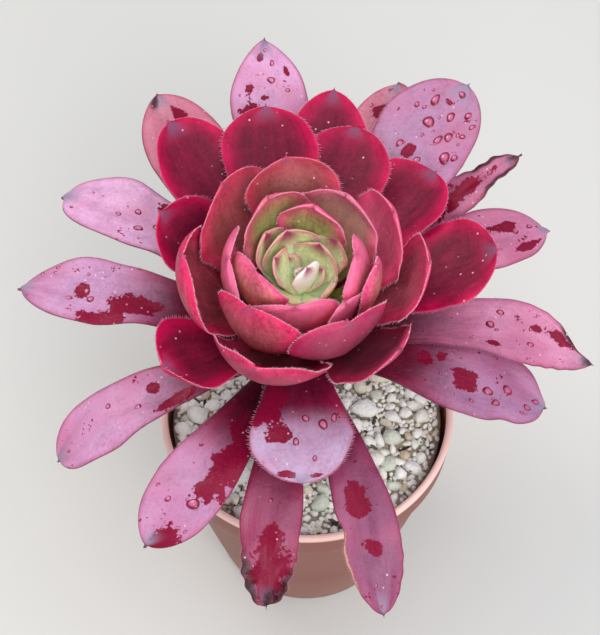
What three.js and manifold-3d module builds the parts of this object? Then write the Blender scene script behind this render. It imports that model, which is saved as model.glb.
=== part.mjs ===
// Potted aeonium: a leafy succulent rosette on a short stem, growing in a tapered plastic pot.
// Millimetres. X points right, Y points back, Z points up.
// The origin is the centre of the pot's flat underside.
import * as THREE from "three";
import { mergeVertices } from "three/addons/utils/BufferGeometryUtils.js";
import Module from "manifold-3d";

const wasm = await Module();
wasm.setup();

// ---------------------------------------------------------------- driving dimensions

const GAP = 0.3; // clearance kept between pieces that touch
const DEGREE = Math.PI / 180;
const GOLDEN_ANGLE = 137.5; // degrees from one leaf of the rosette to the next

const POT_HEIGHT = 86;
const POT_RIM_RADIUS = 50;
const POT_BASE_RADIUS = 33;
const POT_WALL = 1.8;
const POT_FLOOR = 3;
const COLLAR_HEIGHT = 11.5; // the thicker band under the rim
const COLLAR_STEP = 1.3; // how far that band stands out from the body
const COLLAR_FLARE = 0.7; // how much wider the rim is than the foot of the collar
const RIM_WIDTH = 2.4; // the rounded lip
const POT_SIDES = 44;
const DRAIN_HOLES = 6;
const DRAIN_HOLE_RADIUS = 3.5;
const DRAIN_CIRCLE_RADIUS = 21;

const SOIL_TOP = 76.5; // height of the soil at the pot's wall
const SOIL_MOUND = 1.5; // how much higher it is beside the stem
const GRIT_BED = 1.6; // thickness of the packed layer that the stones sit in
const STONES = 85;
const STONE_SIZES = [2.4, 5.4]; // smallest and largest radius

const STEM_RADIUS = 6;
const STEM_FOOT = 58; // the stem stands this deep in the soil
const STEM_TOP = 150;
const CROWN_TOP = 160; // the rounded crown on top of it, which bears the youngest leaves
const STEM_SIDES = 14;
const STEM_AXIS_X = -1.8; // the plant stands a little left of the pot's middle
const SCARRED_STEM_TOP = 118; // below this the stem is bare, with rings of old leaf scars
const SCAR_SPACING = 8;
const SCAR_DEPTH = 0.5;

const ROOT_OVERRUN = 1.6; // a blade is drawn this far into the stem, then cut to fit round it
const MARGIN_THICKNESS = 0.8; // at the edge of a blade
const ROOT_THICKNESS = 3.4; // along the middle of a blade, at its root
const TIP_THICKNESS = 1.5; // along the middle of a blade, at its tip
const MUCRO_WIDTH = 0.9; // the blunt point that a blade ends in
const CENTRELINE_STEPS = 48;

// Blade shapes by age. root: width at the root as a share of the full width.
// point: below 0.5 the tip is rounded, towards 1 it is pointed.
const AGES = {
  outer: { root: 0.36, point: 0.6, along: 7, across: 4, colour: 0x9c4468 },
  middle: { root: 0.34, point: 0.52, along: 7, across: 4, colour: 0x8a1236 },
  inner: { root: 0.34, point: 0.52, along: 6, across: 4, colour: 0xa5274c },
  core: { root: 0.36, point: 0.52, along: 5, across: 4, colour: 0xa84a5a },
  heart: { root: 0.5, point: 0.52, along: 4, across: 2, colour: 0xb9c07a },
};

// Where a margin has wasted away: which side (1 left, -1 right), how far along the blade,
// how far it reaches each way, and how much of the half width is gone.
const CHEWED_EDGE = { side: -1, place: 0.8, reach: 0.05, depth: 0.14 };
const CURLED_CORNER = { side: 1, place: 0.95, reach: 0.1, depth: 0.8 };
const NOTCH = { side: -1, place: 0.7, reach: 0.05, depth: 0.25 };

// Every large leaf, from the inside of the rosette outwards. Each row gives:
//   name, age, heading from the stem (degrees, 0 = right, 90 = back), length, width,
//   slope at the root, half way and at the tip (degrees above level),
//   cup (how far each half is rolled up), lean (degrees, turned about its length at the tip),
//   sweep (degrees that the heading changes), height of the root, place of the full width,
//   and, for the leaves that need it, what else bends or wastes the blade.
const LEAVES = [
  ["core_leaf_1", "core", 74, 30, 23, 64, 63, 100, 32, -5, 3, 154, 0.69],
  ["core_leaf_2", "core", 215, 36, 27, 46, 35, 138, 55, 16, -4, 151, 0.75],
  ["core_leaf_3", "core", 345, 38, 25, 22, 67, 133, 42, -6, 16, 151, 0.8],
  ["core_leaf_4", "core", 121, 34, 27, 58, 56, 88, 26, 2, 14, 152, 0.66],
  ["core_leaf_5", "core", 264, 35, 29, 22, 67, 101, 43, 9, 3, 150, 0.77],
  ["core_leaf_6", "core", 192, 39, 35, 24, 48, 121, 34, -1, -8, 149, 0.8],
  ["core_leaf_7", "core", 301, 37, 20, 35, 51, 99, 6, 9, 13, 148, 0.66],
  ["core_leaf_8", "core", 338, 43, 19, 31, 54, 112, 36, 14, -8, 147, 0.66],

  ["inner_leaf_1", "inner", 49, 38, 31, 38, 56, 107, 27, -1, 3, 152, 0.62],
  ["inner_leaf_2", "inner", 96, 41, 31, 44, 44, 58, 36, 0, 10, 151, 0.74],
  ["inner_leaf_3", "inner", 131, 39, 39, 17, 34, 67, 4, 7, 16, 154, 0.58],
  ["inner_leaf_4", "inner", 240, 52, 30, 15, 48, 115, 44, -7, 4, 148, 0.8],
  ["inner_leaf_5", "inner", 295, 51, 35, 26, 41, 106, 40, 10, -7, 144, 0.77],
  ["inner_leaf_6", "inner", 24, 43, 33, 32, 38, 93, 16, -6, -5, 148, 0.71],
  ["inner_leaf_7", "inner", 191, 54, 41, 15, 24, 120, 41, -3, -5, 147, 0.7],
  ["inner_leaf_8", "inner", 350, 50, 29, 21, 47, 77, 18, 7, -4, 146, 0.79],
  ["inner_leaf_9", "inner", 252, 56, 39, 24, 23, 89, 49, -2, 1, 142, 0.6],

  ["middle_leaf_1", "middle", 72, 58, 30, 22, 13, 20, 28, 0, 4, 147, 0.72, { point: 0.58 }],
  ["middle_leaf_2", "middle", 47, 58, 31, 21, 12, 13, 32, -4, -4, 144, 0.74],
  ["middle_leaf_3", "middle", 156, 50, 29, 26, 23, 48, 24, 0, -2, 144, 0.73],
  ["middle_leaf_4", "middle", 104, 64, 32, 25, 21, 32, 24, 0, -12, 143, 0.75, { point: 0.6 }],
  ["middle_leaf_5", "middle", 308, 51, 28, 22, 39, 66, 9, 4, 16, 140, 0.65],
  ["middle_leaf_6", "middle", 215, 48, 31, 24, 10, 31, 35, 2, 0, 140, 0.8],
  ["middle_leaf_7", "middle", 11, 60, 32, 22, 17, 30, 16, 0, -6, 141, 0.74],
  ["middle_leaf_8", "middle", 81, 72, 27, 24, 19, 27, 28, 2, 2, 140, 0.7, { point: 0.66 }],
  ["middle_leaf_9", "middle", 128, 71, 30, 27, 25, 36, 28, 10, 2, 139, 0.73],
  ["middle_leaf_10", "middle", 269, 52, 31, 14, 0, -20, 10, -2, 4, 139, 0.7],

  ["outer_leaf_1", "outer", 59, 93, 34, 20, 20, 20, 6, 2, -16, 134, 0.74, { point: 0.54 }],
  ["outer_leaf_2", "outer", 99, 96, 26, 20, 19, 26, 4, 2, -5, 132, 0.74, { point: 0.8 }],
  ["outer_leaf_3", "outer", 171, 86, 24, 16, 11, -8, 10, -6, 6, 131, 0.7, { point: 0.7 }],
  ["outer_leaf_4", "outer", 343, 77, 27, 9, -5, -34, 8, 6, 10, 131, 0.68, { root: 0.5, bite: CHEWED_EDGE }],
  ["outer_leaf_5", "outer", 31, 90, 23, 14, 6, -26, 16, 8, -10, 130, 0.72, { point: 0.7 }],
  ["outer_leaf_6", "outer", 141, 89, 25, 18, 14, -10, 20, 2, 25, 129, 0.76, { point: 0.46 }],
  ["outer_leaf_7", "outer", 67, 92, 26, 19, 16, 7, 4, -8, 9, 129, 0.72],
  ["outer_leaf_8", "outer", 240, 80, 24, 11, 2, -28, 10, -3, -14, 128, 0.72, { point: 0.66 }],
  ["outer_leaf_9", "outer", 3, 90, 21, 14, 9, -26, 20, 0, -27, 128, 0.66, { bite: CURLED_CORNER, twist: 35 }],
  ["outer_leaf_10", "outer", 122, 94, 27, 20, 18, 9, 6, -6, -5, 127, 0.74, { point: 0.68 }],
  ["outer_leaf_11", "outer", 42, 88, 14, 21, 22, 18, 30, 0, -18, 127, 0.7, { wave: 0.9, point: 0.6 }],
  ["outer_leaf_12", "outer", 201, 84, 22, 7, -2, -46, 12, 0, 6, 126, 0.72, { point: 0.48 }],
  ["outer_leaf_13", "outer", 288, 90, 19, 12, 2, -30, 12, 4, -10, 126, 0.72, { point: 0.6, bite: NOTCH }],
  ["outer_leaf_14", "outer", 260, 82, 19, 8, -7, -42, 10, 0, 9, 125, 0.68, { root: 0.48, point: 0.34, wave: 1.3 }],
];

const COLOURS = {
  pot: 0xc4806c,
  soil: 0x57463a,
  grit: 0xcfcabb,
  stem: 0x8c7a63,
};

// ---------------------------------------------------------------- small helpers

// A repeatable stream of numbers from 0 to 1.
function seededRandom(seed) {
  let state = seed;
  return () => {
    state = (state * 1664525 + 1013904223) % 4294967296;
    return state / 4294967296;
  };
}

const lerp = THREE.MathUtils.lerp;
const smoothstep = THREE.MathUtils.smoothstep;
const clamp = THREE.MathUtils.clamp;

function solidFrom(geometry) {
  const plain = geometry.clone();
  plain.deleteAttribute("normal");
  plain.deleteAttribute("uv");
  const merged = mergeVertices(plain, 1e-4);
  return new wasm.Manifold(
    new wasm.Mesh({
      numProp: 3,
      vertProperties: new Float32Array(merged.attributes.position.array),
      triVerts: new Uint32Array(merged.index.array),
    }),
  );
}

function geometryFrom(solid) {
  const { vertProperties, triVerts } = solid.getMesh();
  const geometry = new THREE.BufferGeometry();
  geometry.setAttribute("position", new THREE.BufferAttribute(vertProperties, 3));
  geometry.setIndex(new THREE.BufferAttribute(triVerts, 1));
  return geometry;
}

// A body of revolution about the Z axis through (x, 0), from [radius, height] pairs.
function lathe(profile, sides, x = 0) {
  const points = profile.map(([radius, height]) => new THREE.Vector2(radius, height));
  return new THREE.LatheGeometry(points, sides).rotateX(Math.PI / 2).translate(x, 0, 0);
}

function largestBody(solid) {
  const bodies = solid.decompose();
  return bodies.reduce((best, body) => (body.volume() > best.volume() ? body : best));
}

const plant = new THREE.Group();

function addPiece(name, geometry, colour, roughness) {
  const material = new THREE.MeshStandardMaterial({ color: colour, roughness, metalness: 0 });
  const mesh = new THREE.Mesh(geometry, material);
  mesh.name = name;
  plant.add(mesh);
}

// ---------------------------------------------------------------- pot

const COLLAR_FOOT = POT_HEIGHT - COLLAR_HEIGHT;
const COLLAR_FOOT_RADIUS = POT_RIM_RADIUS - COLLAR_FLARE;
const BODY_TOP_RADIUS = COLLAR_FOOT_RADIUS - COLLAR_STEP;

// Radius of the pot's inner wall at a height.
function innerRadius(height) {
  const share = height / COLLAR_FOOT;
  return lerp(POT_BASE_RADIUS, BODY_TOP_RADIUS, share) - POT_WALL;
}

function potGeometry() {
  const lip = RIM_WIDTH / 2;
  const lipCentre = POT_RIM_RADIUS - lip;
  const profile = [
    [0, 0],
    [POT_BASE_RADIUS - 1, 0],
    [POT_BASE_RADIUS, 1],
    [BODY_TOP_RADIUS, COLLAR_FOOT],
    [COLLAR_FOOT_RADIUS, COLLAR_FOOT + 0.5],
  ];
  for (let turn = 0; turn <= 4; turn += 1) {
    const angle = (turn / 4) * Math.PI;
    profile.push([lipCentre + lip * Math.cos(angle), POT_HEIGHT - lip + lip * Math.sin(angle)]);
  }
  const inside = POT_RIM_RADIUS - RIM_WIDTH;
  profile.push([inside, COLLAR_FOOT + 2]);
  profile.push([innerRadius(COLLAR_FOOT), COLLAR_FOOT]);
  profile.push([innerRadius(POT_FLOOR), POT_FLOOR]);
  profile.push([0, POT_FLOOR]);

  let pot = solidFrom(lathe(profile, POT_SIDES));
  for (let hole = 0; hole < DRAIN_HOLES; hole += 1) {
    const angle = (hole / DRAIN_HOLES) * 2 * Math.PI;
    const drill = new THREE.CylinderGeometry(DRAIN_HOLE_RADIUS, DRAIN_HOLE_RADIUS, 3 * POT_FLOOR, 12)
      .rotateX(Math.PI / 2)
      .translate(DRAIN_CIRCLE_RADIUS * Math.cos(angle), DRAIN_CIRCLE_RADIUS * Math.sin(angle), 0);
    pot = pot.subtract(solidFrom(drill));
  }
  return geometryFrom(pot);
}

// ---------------------------------------------------------------- soil and grit

// Height of the soil at a distance from the stem: a low mound.
function soilHeight(distance) {
  const share = clamp(distance / POT_RIM_RADIUS, 0, 1);
  return SOIL_TOP + SOIL_MOUND * (1 - share) ** 2;
}

// A plain upright post that leaves the clearance round the stem.
function stemPost(clearance, foot, top) {
  const radius = STEM_RADIUS + clearance;
  return solidFrom(
    new THREE.CylinderGeometry(radius, radius, top - foot, STEM_SIDES)
      .rotateX(Math.PI / 2)
      .translate(STEM_AXIS_X, 0, (top + foot) / 2),
  );
}

function soilGeometry() {
  const foot = POT_FLOOR + GAP;
  const edge = innerRadius(SOIL_TOP) - GAP - 0.5;
  const profile = [
    [0, foot],
    [innerRadius(foot) - GAP - 0.1, foot],
    [innerRadius(SOIL_TOP - 4) - GAP - 0.1, SOIL_TOP - 4],
    [edge, SOIL_TOP],
    [edge * 0.7, soilHeight(edge * 0.7)],
    [edge * 0.35, soilHeight(edge * 0.35)],
    [0, soilHeight(0)],
  ];
  const soil = solidFrom(lathe(profile, 36));
  return geometryFrom(soil.subtract(stemPost(GAP, STEM_FOOT - GAP, STEM_TOP)));
}

// One stone: a rounded lump with unequal sides, turned at random.
function stoneGeometry(size, random) {
  const stone = new THREE.OctahedronGeometry(size, 0);
  stone.scale(lerp(0.85, 1.2, random()), lerp(0.7, 1, random()), lerp(0.6, 0.85, random()));
  stone.rotateX(lerp(-0.5, 0.5, random()));
  stone.rotateZ(2 * Math.PI * random());
  return stone;
}

// The top dressing: a packed bed with stones sunk into it, spread by the sunflower rule.
function gritGeometry() {
  const random = seededRandom(11);
  const edge = innerRadius(SOIL_TOP) - GAP - 0.9;
  const lift = GAP + 0.1;
  const under = [edge, edge * 0.7, edge * 0.35, 0].map((r) => [r, soilHeight(r) + lift]);
  const over = [0, edge * 0.35, edge * 0.7, edge].map((r) => [r, soilHeight(r) + lift + GRIT_BED]);
  let grit = solidFrom(lathe([...over, ...under].reverse(), 36));
  for (let index = 0; index < STONES; index += 1) {
    const size = lerp(STONE_SIZES[0], STONE_SIZES[1], random() ** 2.2);
    const distance = (edge - size * 1.1) * Math.sqrt((index + 0.5) / STONES);
    if (distance < STEM_RADIUS + size + 3) continue;
    const angle = index * GOLDEN_ANGLE * DEGREE;
    const height = soilHeight(distance) + lift + GRIT_BED + size * 0.05;
    const stone = stoneGeometry(size, random);
    stone.translate(distance * Math.cos(angle), distance * Math.sin(angle), height);
    grit = grit.add(solidFrom(stone));
  }
  const below = under.map(([r, h]) => [r === edge ? POT_RIM_RADIUS : r, h]);
  const soilBelow = lathe([[0, 0], [POT_RIM_RADIUS, 0], ...below], 36);
  return geometryFrom(grit.subtract(solidFrom(soilBelow)).subtract(stemPost(GAP, STEM_FOOT, STEM_TOP)));
}

// ---------------------------------------------------------------- stem

function stemGeometry() {
  const profile = [[0, STEM_FOOT], [STEM_RADIUS, STEM_FOOT]];
  for (let height = SOIL_TOP + 6; height < SCARRED_STEM_TOP; height += SCAR_SPACING) {
    profile.push([STEM_RADIUS, height]);
    profile.push([STEM_RADIUS - SCAR_DEPTH, height + SCAR_SPACING * 0.3]);
  }
  profile.push([STEM_RADIUS, SCARRED_STEM_TOP]);
  profile.push([STEM_RADIUS, STEM_TOP]);
  profile.push([0, STEM_TOP]);
  return lathe(profile, STEM_SIDES, STEM_AXIS_X);
}

// ---------------------------------------------------------------- leaves

// Half width of a blade, as a share, at u (0 = root, 1 = tip).
function halfWidthShare(u, blade) {
  if (u < blade.fullest) {
    const t = clamp(u / blade.fullest, 0, 1);
    const swell = 0.45 * Math.sin((Math.PI / 2) * t) ** 2 + 0.55 * t ** 1.6;
    return blade.root + (1 - blade.root) * swell;
  }
  const s = (u - blade.fullest) / (1 - blade.fullest);
  return Math.max(0, 1 - s ** 2.2) ** blade.point;
}

// Points, directions and headings along the middle of a blade. Its slope follows a
// quadratic curve through the three slopes, and its heading turns by the sweep.
function centreline(blade) {
  const heading = blade.heading * DEGREE;
  const start = STEM_RADIUS + blade.outset;
  const at = new THREE.Vector3(
    STEM_AXIS_X + start * Math.cos(heading),
    start * Math.sin(heading),
    blade.rootHeight,
  );
  const [rootSlope, midSlope, tipSlope] = blade.slopes;
  const stations = [];
  for (let step = 0; step <= CENTRELINE_STEPS; step += 1) {
    const u = step / CENTRELINE_STEPS;
    const slope = ((1 - u) ** 2 * rootSlope + 2 * u * (1 - u) * midSlope + u * u * tipSlope) * DEGREE;
    const turn = heading + blade.sweep * DEGREE * u * u;
    const along = new THREE.Vector3(
      Math.cos(slope) * Math.cos(turn),
      Math.cos(slope) * Math.sin(turn),
      Math.sin(slope),
    );
    if (step > 0) {
      const middle = along.clone().add(stations[step - 1].along).normalize();
      at.addScaledVector(middle, blade.length / CENTRELINE_STEPS);
    }
    stations.push({ u, at: at.clone(), along, turn });
  }
  return stations;
}

// The place and the axes of the blade at any u: along it, to its left and out of its face.
function frameAt(stations, u, blade) {
  const exact = clamp(u, 0, 1) * CENTRELINE_STEPS;
  const below = Math.min(Math.floor(exact), CENTRELINE_STEPS - 1);
  const share = exact - below;
  const [a, b] = [stations[below], stations[below + 1]];
  const along = a.along.clone().lerp(b.along, share).normalize();
  const turn = lerp(a.turn, b.turn, share);
  const left = new THREE.Vector3(-Math.sin(turn), Math.cos(turn), 0);
  const lean = (blade.lean * clamp(u, 0, 1) + blade.twist * smoothstep(u, 0.55, 1)) * DEGREE;
  left.applyAxisAngle(along, lean);
  const face = along.clone().cross(left);
  const at = a.at.clone().lerp(b.at, share);
  at.addScaledVector(along, (u - clamp(u, 0, 1)) * blade.length);
  return { at, left, face };
}

// A point on one face of a blade. v runs from -1 (right margin) to 1 (left margin).
function bladePoint(stations, blade, u, v, side, growth) {
  const { at, left, face } = frameAt(stations, u, blade);
  let half = (halfWidthShare(clamp(u, 0, 1), blade) * blade.width) / 2;
  if (blade.bite && Math.sign(v) === blade.bite.side) {
    const { place, reach, depth } = blade.bite;
    half *= 1 - depth * Math.exp(-(((u - place) / reach) ** 2));
  }
  half = Math.max(half, MUCRO_WIDTH / 2) + growth;
  const roll = Math.max(blade.cup * DEGREE * clamp(0.35 + 0.65 * (u / 0.55), 0, 1), 0.001);
  const angle = roll * v;
  const across = (half * Math.sin(angle)) / roll;
  const rise = (half * (1 - Math.cos(angle))) / roll;
  const middle = lerp(ROOT_THICKNESS, TIP_THICKNESS, clamp(u, 0, 1)) * blade.thin;
  const thickness = lerp(MARGIN_THICKNESS, Math.max(middle, MARGIN_THICKNESS), 1 - v * v);
  const wave = blade.wave * Math.abs(v) * smoothstep(u, 0.5, 0.9) * Math.sin(u * 34 + v * 2);
  const normalAcross = -Math.sin(angle);
  const normalUp = Math.cos(angle);
  const offset = side * (thickness / 2 + growth);
  return at
    .addScaledVector(left, across + normalAcross * offset)
    .addScaledVector(face, rise + wave + normalUp * offset);
}

// A closed blade: two faces of the same grid, joined round the edge.
function bladeGeometry(blade, growth = 0) {
  const stations = centreline(blade);
  const { along, across } = AGES[blade.age];
  const overrun = (ROOT_OVERRUN + growth) / blade.length;
  const positions = [];
  const index = [];
  const places = [-overrun];
  for (let step = 1; step <= along; step += 1) {
    places.push(1 - (1 - step / along) ** 1.5 + (step === along ? growth / blade.length : 0));
  }
  for (const side of [1, -1]) {
    for (const u of places) {
      for (let column = 0; column <= across; column += 1) {
        const v = (2 * column) / across - 1;
        positions.push(...bladePoint(stations, blade, u, v, side, growth).toArray());
      }
    }
  }
  const row = across + 1;
  const under = row * (along + 1);
  const quad = (a, b, c, d) => index.push(a, b, c, a, c, d);
  for (let i = 0; i < along; i += 1) {
    for (let j = 0; j < across; j += 1) {
      const a = i * row + j;
      index.push(a, a + row, a + row + 1, a, a + row + 1, a + 1);
      const b = a + under;
      index.push(b, b + row + 1, b + row, b, b + 1, b + row + 1);
    }
    const right = i * row;
    quad(right, right + under, right + under + row, right + row);
    const left = i * row + across;
    quad(left, left + row, left + row + under, left + under);
  }
  for (let j = 0; j < across; j += 1) {
    quad(j, j + 1, j + 1 + under, j + under);
    const end = along * row + j;
    quad(end, end + under, end + under + 1, end + 1);
  }
  const geometry = new THREE.BufferGeometry();
  geometry.setAttribute("position", new THREE.Float32BufferAttribute(positions, 3));
  geometry.setIndex(index);
  return geometry;
}

// What a blade has unless its own row says otherwise.
function plainBlade(age) {
  const { root, point } = AGES[age];
  return { age, root, point, lean: 0, sweep: 0, twist: 0, wave: 0, thin: 1, outset: 0 };
}

function readLeaf([name, age, heading, length, width, ...rest]) {
  const [rootSlope, middleSlope, tipSlope, cup, lean, sweep, rootHeight, fullest, extra] = rest;
  const slopes = [rootSlope, middleSlope, tipSlope];
  return {
    ...plainBlade(age),
    name,
    heading,
    length,
    width,
    slopes,
    cup,
    lean,
    sweep,
    rootHeight,
    fullest,
    ...extra,
  };
}

// The growing point: small cupped leaves fused to the crown that ends the stem.
// Each row gives, from the inside outwards: heading, length, width, slope at the root, half way
// and at the tip, cup, lean, sweep, height of the root, place of the full width, and how far
// inside the stem's radius the leaf starts.
const HEART_LEAVES = [
  [75, 8, 5, 74, 82, 96, 34, 0, 0, 160, 0.66, 6],
  [212, 9, 6, 70, 84, 100, 34, 4, 3, 159, 0.66, 5.8],
  [350, 9, 6, 66, 82, 104, 34, -4, -3, 159, 0.66, 5.6],
  [312, 14, 12, 56, 88, 118, 26, 3, 2, 158, 0.7, 5.2],
  [235, 11, 13, 22, 38, 84, 44, 0, 0, 157, 0.66, 3],
  [305, 11, 13, 24, 40, 86, 44, 0, 0, 157, 0.66, 3],
  [268, 12, 14, 18, 34, 80, 44, 0, 0, 156, 0.66, 2.6],
  [338, 14, 14, 26, 44, 90, 40, 0, 0, 157, 0.66, 3],
  [14, 11, 9, 51, 58, 62, 40, 12, 4, 157, 0.74, 4.8],
  [127, 12, 9, 30, 62, 80, 30, -3, -4, 157, 0.76, 4.4],
  [178, 17, 13, 52, 76, 74, 26, -13, -6, 158, 0.74, 4],
  [48, 18, 19, 53, 67, 93, 37, 5, 11, 156, 0.6, 3.4],
  [42, 20, 17, 54, 54, 65, 28, 14, -10, 156, 0.77, 2.8],
  [118, 24, 22, 47, 87, 91, 39, -9, 9, 154, 0.63, 2.4],
  [143, 26, 16, 53, 59, 91, 28, 0, 1, 152, 0.76, 2],
];
const HEART_THIN = [0.5, 0.7]; // thickness of its leaves, inner and outer, against a grown leaf's

function heartBlades() {
  return HEART_LEAVES.map((row, order) => {
    const [heading, length, width, root, middle, tip, cup, lean, sweep, height, fullest, inside] = row;
    return {
      ...plainBlade("heart"),
      heading,
      length,
      width,
      slopes: [root, middle, tip],
      cup,
      lean,
      sweep,
      thin: lerp(HEART_THIN[0], HEART_THIN[1], order / (HEART_LEAVES.length - 1)),
      outset: -inside,
      rootHeight: height,
      fullest,
    };
  });
}

function crownSolid(clearance = 0) {
  const foot = STEM_TOP + GAP - clearance;
  const radius = STEM_RADIUS + clearance;
  const profile = [
    [0, foot],
    [radius, foot],
    [radius, CROWN_TOP - 5],
    [radius * 0.7, CROWN_TOP - 2 + clearance],
    [0, CROWN_TOP + clearance],
  ];
  return solidFrom(lathe(profile, STEM_SIDES, STEM_AXIS_X));
}

function heartSolid() {
  let heart = crownSolid();
  for (const blade of heartBlades()) {
    heart = heart.add(solidFrom(bladeGeometry(blade)));
  }
  return heart.subtract(stemPost(GAP, STEM_FOOT, STEM_TOP + GAP));
}

// ---------------------------------------------------------------- assembly

addPiece("pot", potGeometry(), COLOURS.pot, 0.55);
addPiece("soil", soilGeometry(), COLOURS.soil, 0.95);
addPiece("grit", gritGeometry(), COLOURS.grit, 0.9);
addPiece("stem", stemGeometry(), COLOURS.stem, 0.8);

const heart = heartSolid();
addPiece("heart", geometryFrom(heart), AGES.heart.colour, 0.5);

// Inner leaves keep their shape. Each leaf further out is cut clear of those before it.
const taken = [stemPost(GAP + 0.05, STEM_FOOT, STEM_TOP), crownSolid(GAP + 0.05)];
for (const blade of heartBlades()) taken.push(solidFrom(bladeGeometry(blade, GAP + 0.05)));
for (const row of LEAVES) {
  const leaf = readLeaf(row);
  let solid = solidFrom(bladeGeometry(leaf));
  for (const other of taken) solid = solid.subtract(other);
  solid = largestBody(solid);
  addPiece(leaf.name, geometryFrom(solid), AGES[leaf.age].colour, 0.45);
  taken.push(solidFrom(bladeGeometry(leaf, GAP + 0.05)));
}

export default plant;
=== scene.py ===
"""Potted aeonium: the finishes and fine shapes of the plant, its pot and its top dressing.

Shapes are worked out in millimetres and put into the meshes in metres. X points right, Y points
back and Z points up, with the origin at the centre of the pot's underside.
"""
import math
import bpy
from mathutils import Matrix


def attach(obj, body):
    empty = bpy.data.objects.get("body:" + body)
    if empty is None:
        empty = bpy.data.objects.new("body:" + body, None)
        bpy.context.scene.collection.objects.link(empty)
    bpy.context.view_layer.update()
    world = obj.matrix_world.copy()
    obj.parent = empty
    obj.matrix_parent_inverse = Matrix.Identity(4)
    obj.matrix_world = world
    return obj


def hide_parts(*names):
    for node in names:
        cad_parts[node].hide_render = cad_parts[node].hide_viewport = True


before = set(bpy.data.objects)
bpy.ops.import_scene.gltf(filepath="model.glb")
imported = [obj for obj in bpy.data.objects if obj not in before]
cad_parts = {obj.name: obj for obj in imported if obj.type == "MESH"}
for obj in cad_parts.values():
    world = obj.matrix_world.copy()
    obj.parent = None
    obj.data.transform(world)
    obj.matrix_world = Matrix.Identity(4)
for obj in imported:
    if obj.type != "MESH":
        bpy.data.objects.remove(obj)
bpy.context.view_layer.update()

from types import SimpleNamespace

import bpy
import numpy as np
from mathutils import Vector

MM = 0.001
GOLDEN_ANGLE = 137.5
FULL_TURN = 6.283
PLANT_SEED = 7
LARGE_STONE_SEED = 11
GRIT_SEED = 23

# ------------------------------------------------------------------ sizes, in millimetres

POT_HEIGHT = 86.0
POT_RIM_RADIUS = 50.0
POT_BASE_RADIUS = 33.0
POT_WALL = 1.8
POT_FLOOR = 3.0
COLLAR_HEIGHT = 11.5
COLLAR_STEP = 1.3
COLLAR_FLARE = 0.7
COLLAR_ROUND = 0.6
RIM_WIDTH = 2.4
FOOT_ROUND = 1.0
DRAIN_HOLES = 6
DRAIN_HOLE_RADIUS = 3.5
DRAIN_CIRCLE_RADIUS = 21.0
DRILL_SPAN = (-3.0, 6.0)
POT_SIDES = 160
DRILL_SIDES = 32

SOIL_TOP = 76.5
SOIL_MOUND = 1.5
SOIL_GAP = 0.5
BED_TOP = 78.2

STEM_RADIUS = 6.0
STEM_AXIS_X = -1.8
STEM_FOOT = 60.0
STEM_TOP = 150.0
SCARS = 34
FIRST_SCAR = 80.0
SCAR_STEP = 1.5
SCAR_WIDTH = 3.2
SCAR_HEIGHT = 1.1
SCARS_END = 126.0

ROOT_OVERRUN = 1.6
ROOT_THICKNESS = 3.4
TIP_THICKNESS = 1.5
MUCRO_LENGTH = 1.1
MUCRO_RADIUS = 0.5
CHANNEL_DEPTH = 0.28
KEEL_DEPTH = 0.45
HAIR_ROOT = 0.15

# How a leaf is drawn: the steps along its centreline, the share of its half width by which the
# outline wanders, how closely its rows crowd toward the tip, how full its section is, and the half
# width of its midrib, as a share of the blade's.
CENTRELINE_STEPS = 240
OUTLINE_WANDER = 0.018
ROW_CROWDING = 1.35
SECTION_FULLNESS = 0.8
RIB_WIDTH = 0.1

# Along which part of a leaf its hairs stand, in how many steps its margin is measured, and where
# round a hair's axis its three corners lie.
FRINGE_SPAN = (0.16, 0.985)
FRINGE_STEPS = 240
HAIR_CORNERS = (0.0, 2.094, 4.189)

# The top dressing: how many large stones there are, their radii in the frame in millimetres and
# the share of it that they have here, how many stones there are in all and how many small ones
# are tried, how many planes break a stone and how sharp its edges are, how many shreds are strewn,
# and the tones of both with the share of each.
LARGE_STONES = 85
LARGE_STONE_RADII = (2.4, 5.4)
LARGE_STONE_SHRINK = 0.86
STONES = 1500
DROPS = 16000
STONE_PLANES = 9
EDGE_SHARPNESS = 14
SHREDS = 240
STONE_TONES = ("#fffef8", "#f8f6ea", "#ece5d0", "#dde3d2", "#d2c2a8", "#bdb9b0")
STONE_SHARES = (0.5, 0.24, 0.08, 0.11, 0.04, 0.03)
SHRED_TONES = ("#5d4638", "#7a6655", "#3c2b22", "#8e8474", "#6f8a45")
SHRED_SHARES = (0.36, 0.28, 0.2, 0.12, 0.04)

# A bead of water: its points round, its rings and its height as shares of its radius, and how
# deep it is sunk, in millimetres.
BEAD_SIDES = 14
BEAD_RINGS = (1.0, 0.93, 0.78, 0.55, 0.28)
BEAD_RISE = 0.42
BEAD_SINK = 0.12

# The camera: where it looks and how far off it stands, in millimetres, how steeply it looks down,
# in degrees, and its focal length and the image's height, in pixels.
CAMERA_TARGET = (-2.4, 0.0, 141.4)
CAMERA_DISTANCE = 500.0
CAMERA_ELEVATION = 56.5
FOCAL_PIXELS = 1600.0
IMAGE_HEIGHT = 635.0


# ------------------------------------------------------------------ arithmetic

def smooth(value, low, high):
    """0 below low, 1 above high, and an S-shaped ramp between them."""
    share = np.clip((value - low) / (high - low), 0.0, 1.0)
    return share * share * (3.0 - 2.0 * share)


def mixed(first, second, share):
    """The value that lies a share of the way from first to second."""
    return first + (second - first) * share


def unit(vectors):
    """Each row of vectors scaled to length 1."""
    return vectors / np.maximum(np.linalg.norm(vectors, axis=-1, keepdims=True), 1e-9)


def circle(count):
    """The angles of count points spread evenly round a circle."""
    return np.linspace(0.0, 2.0 * np.pi, count, endpoint=False)


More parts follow.
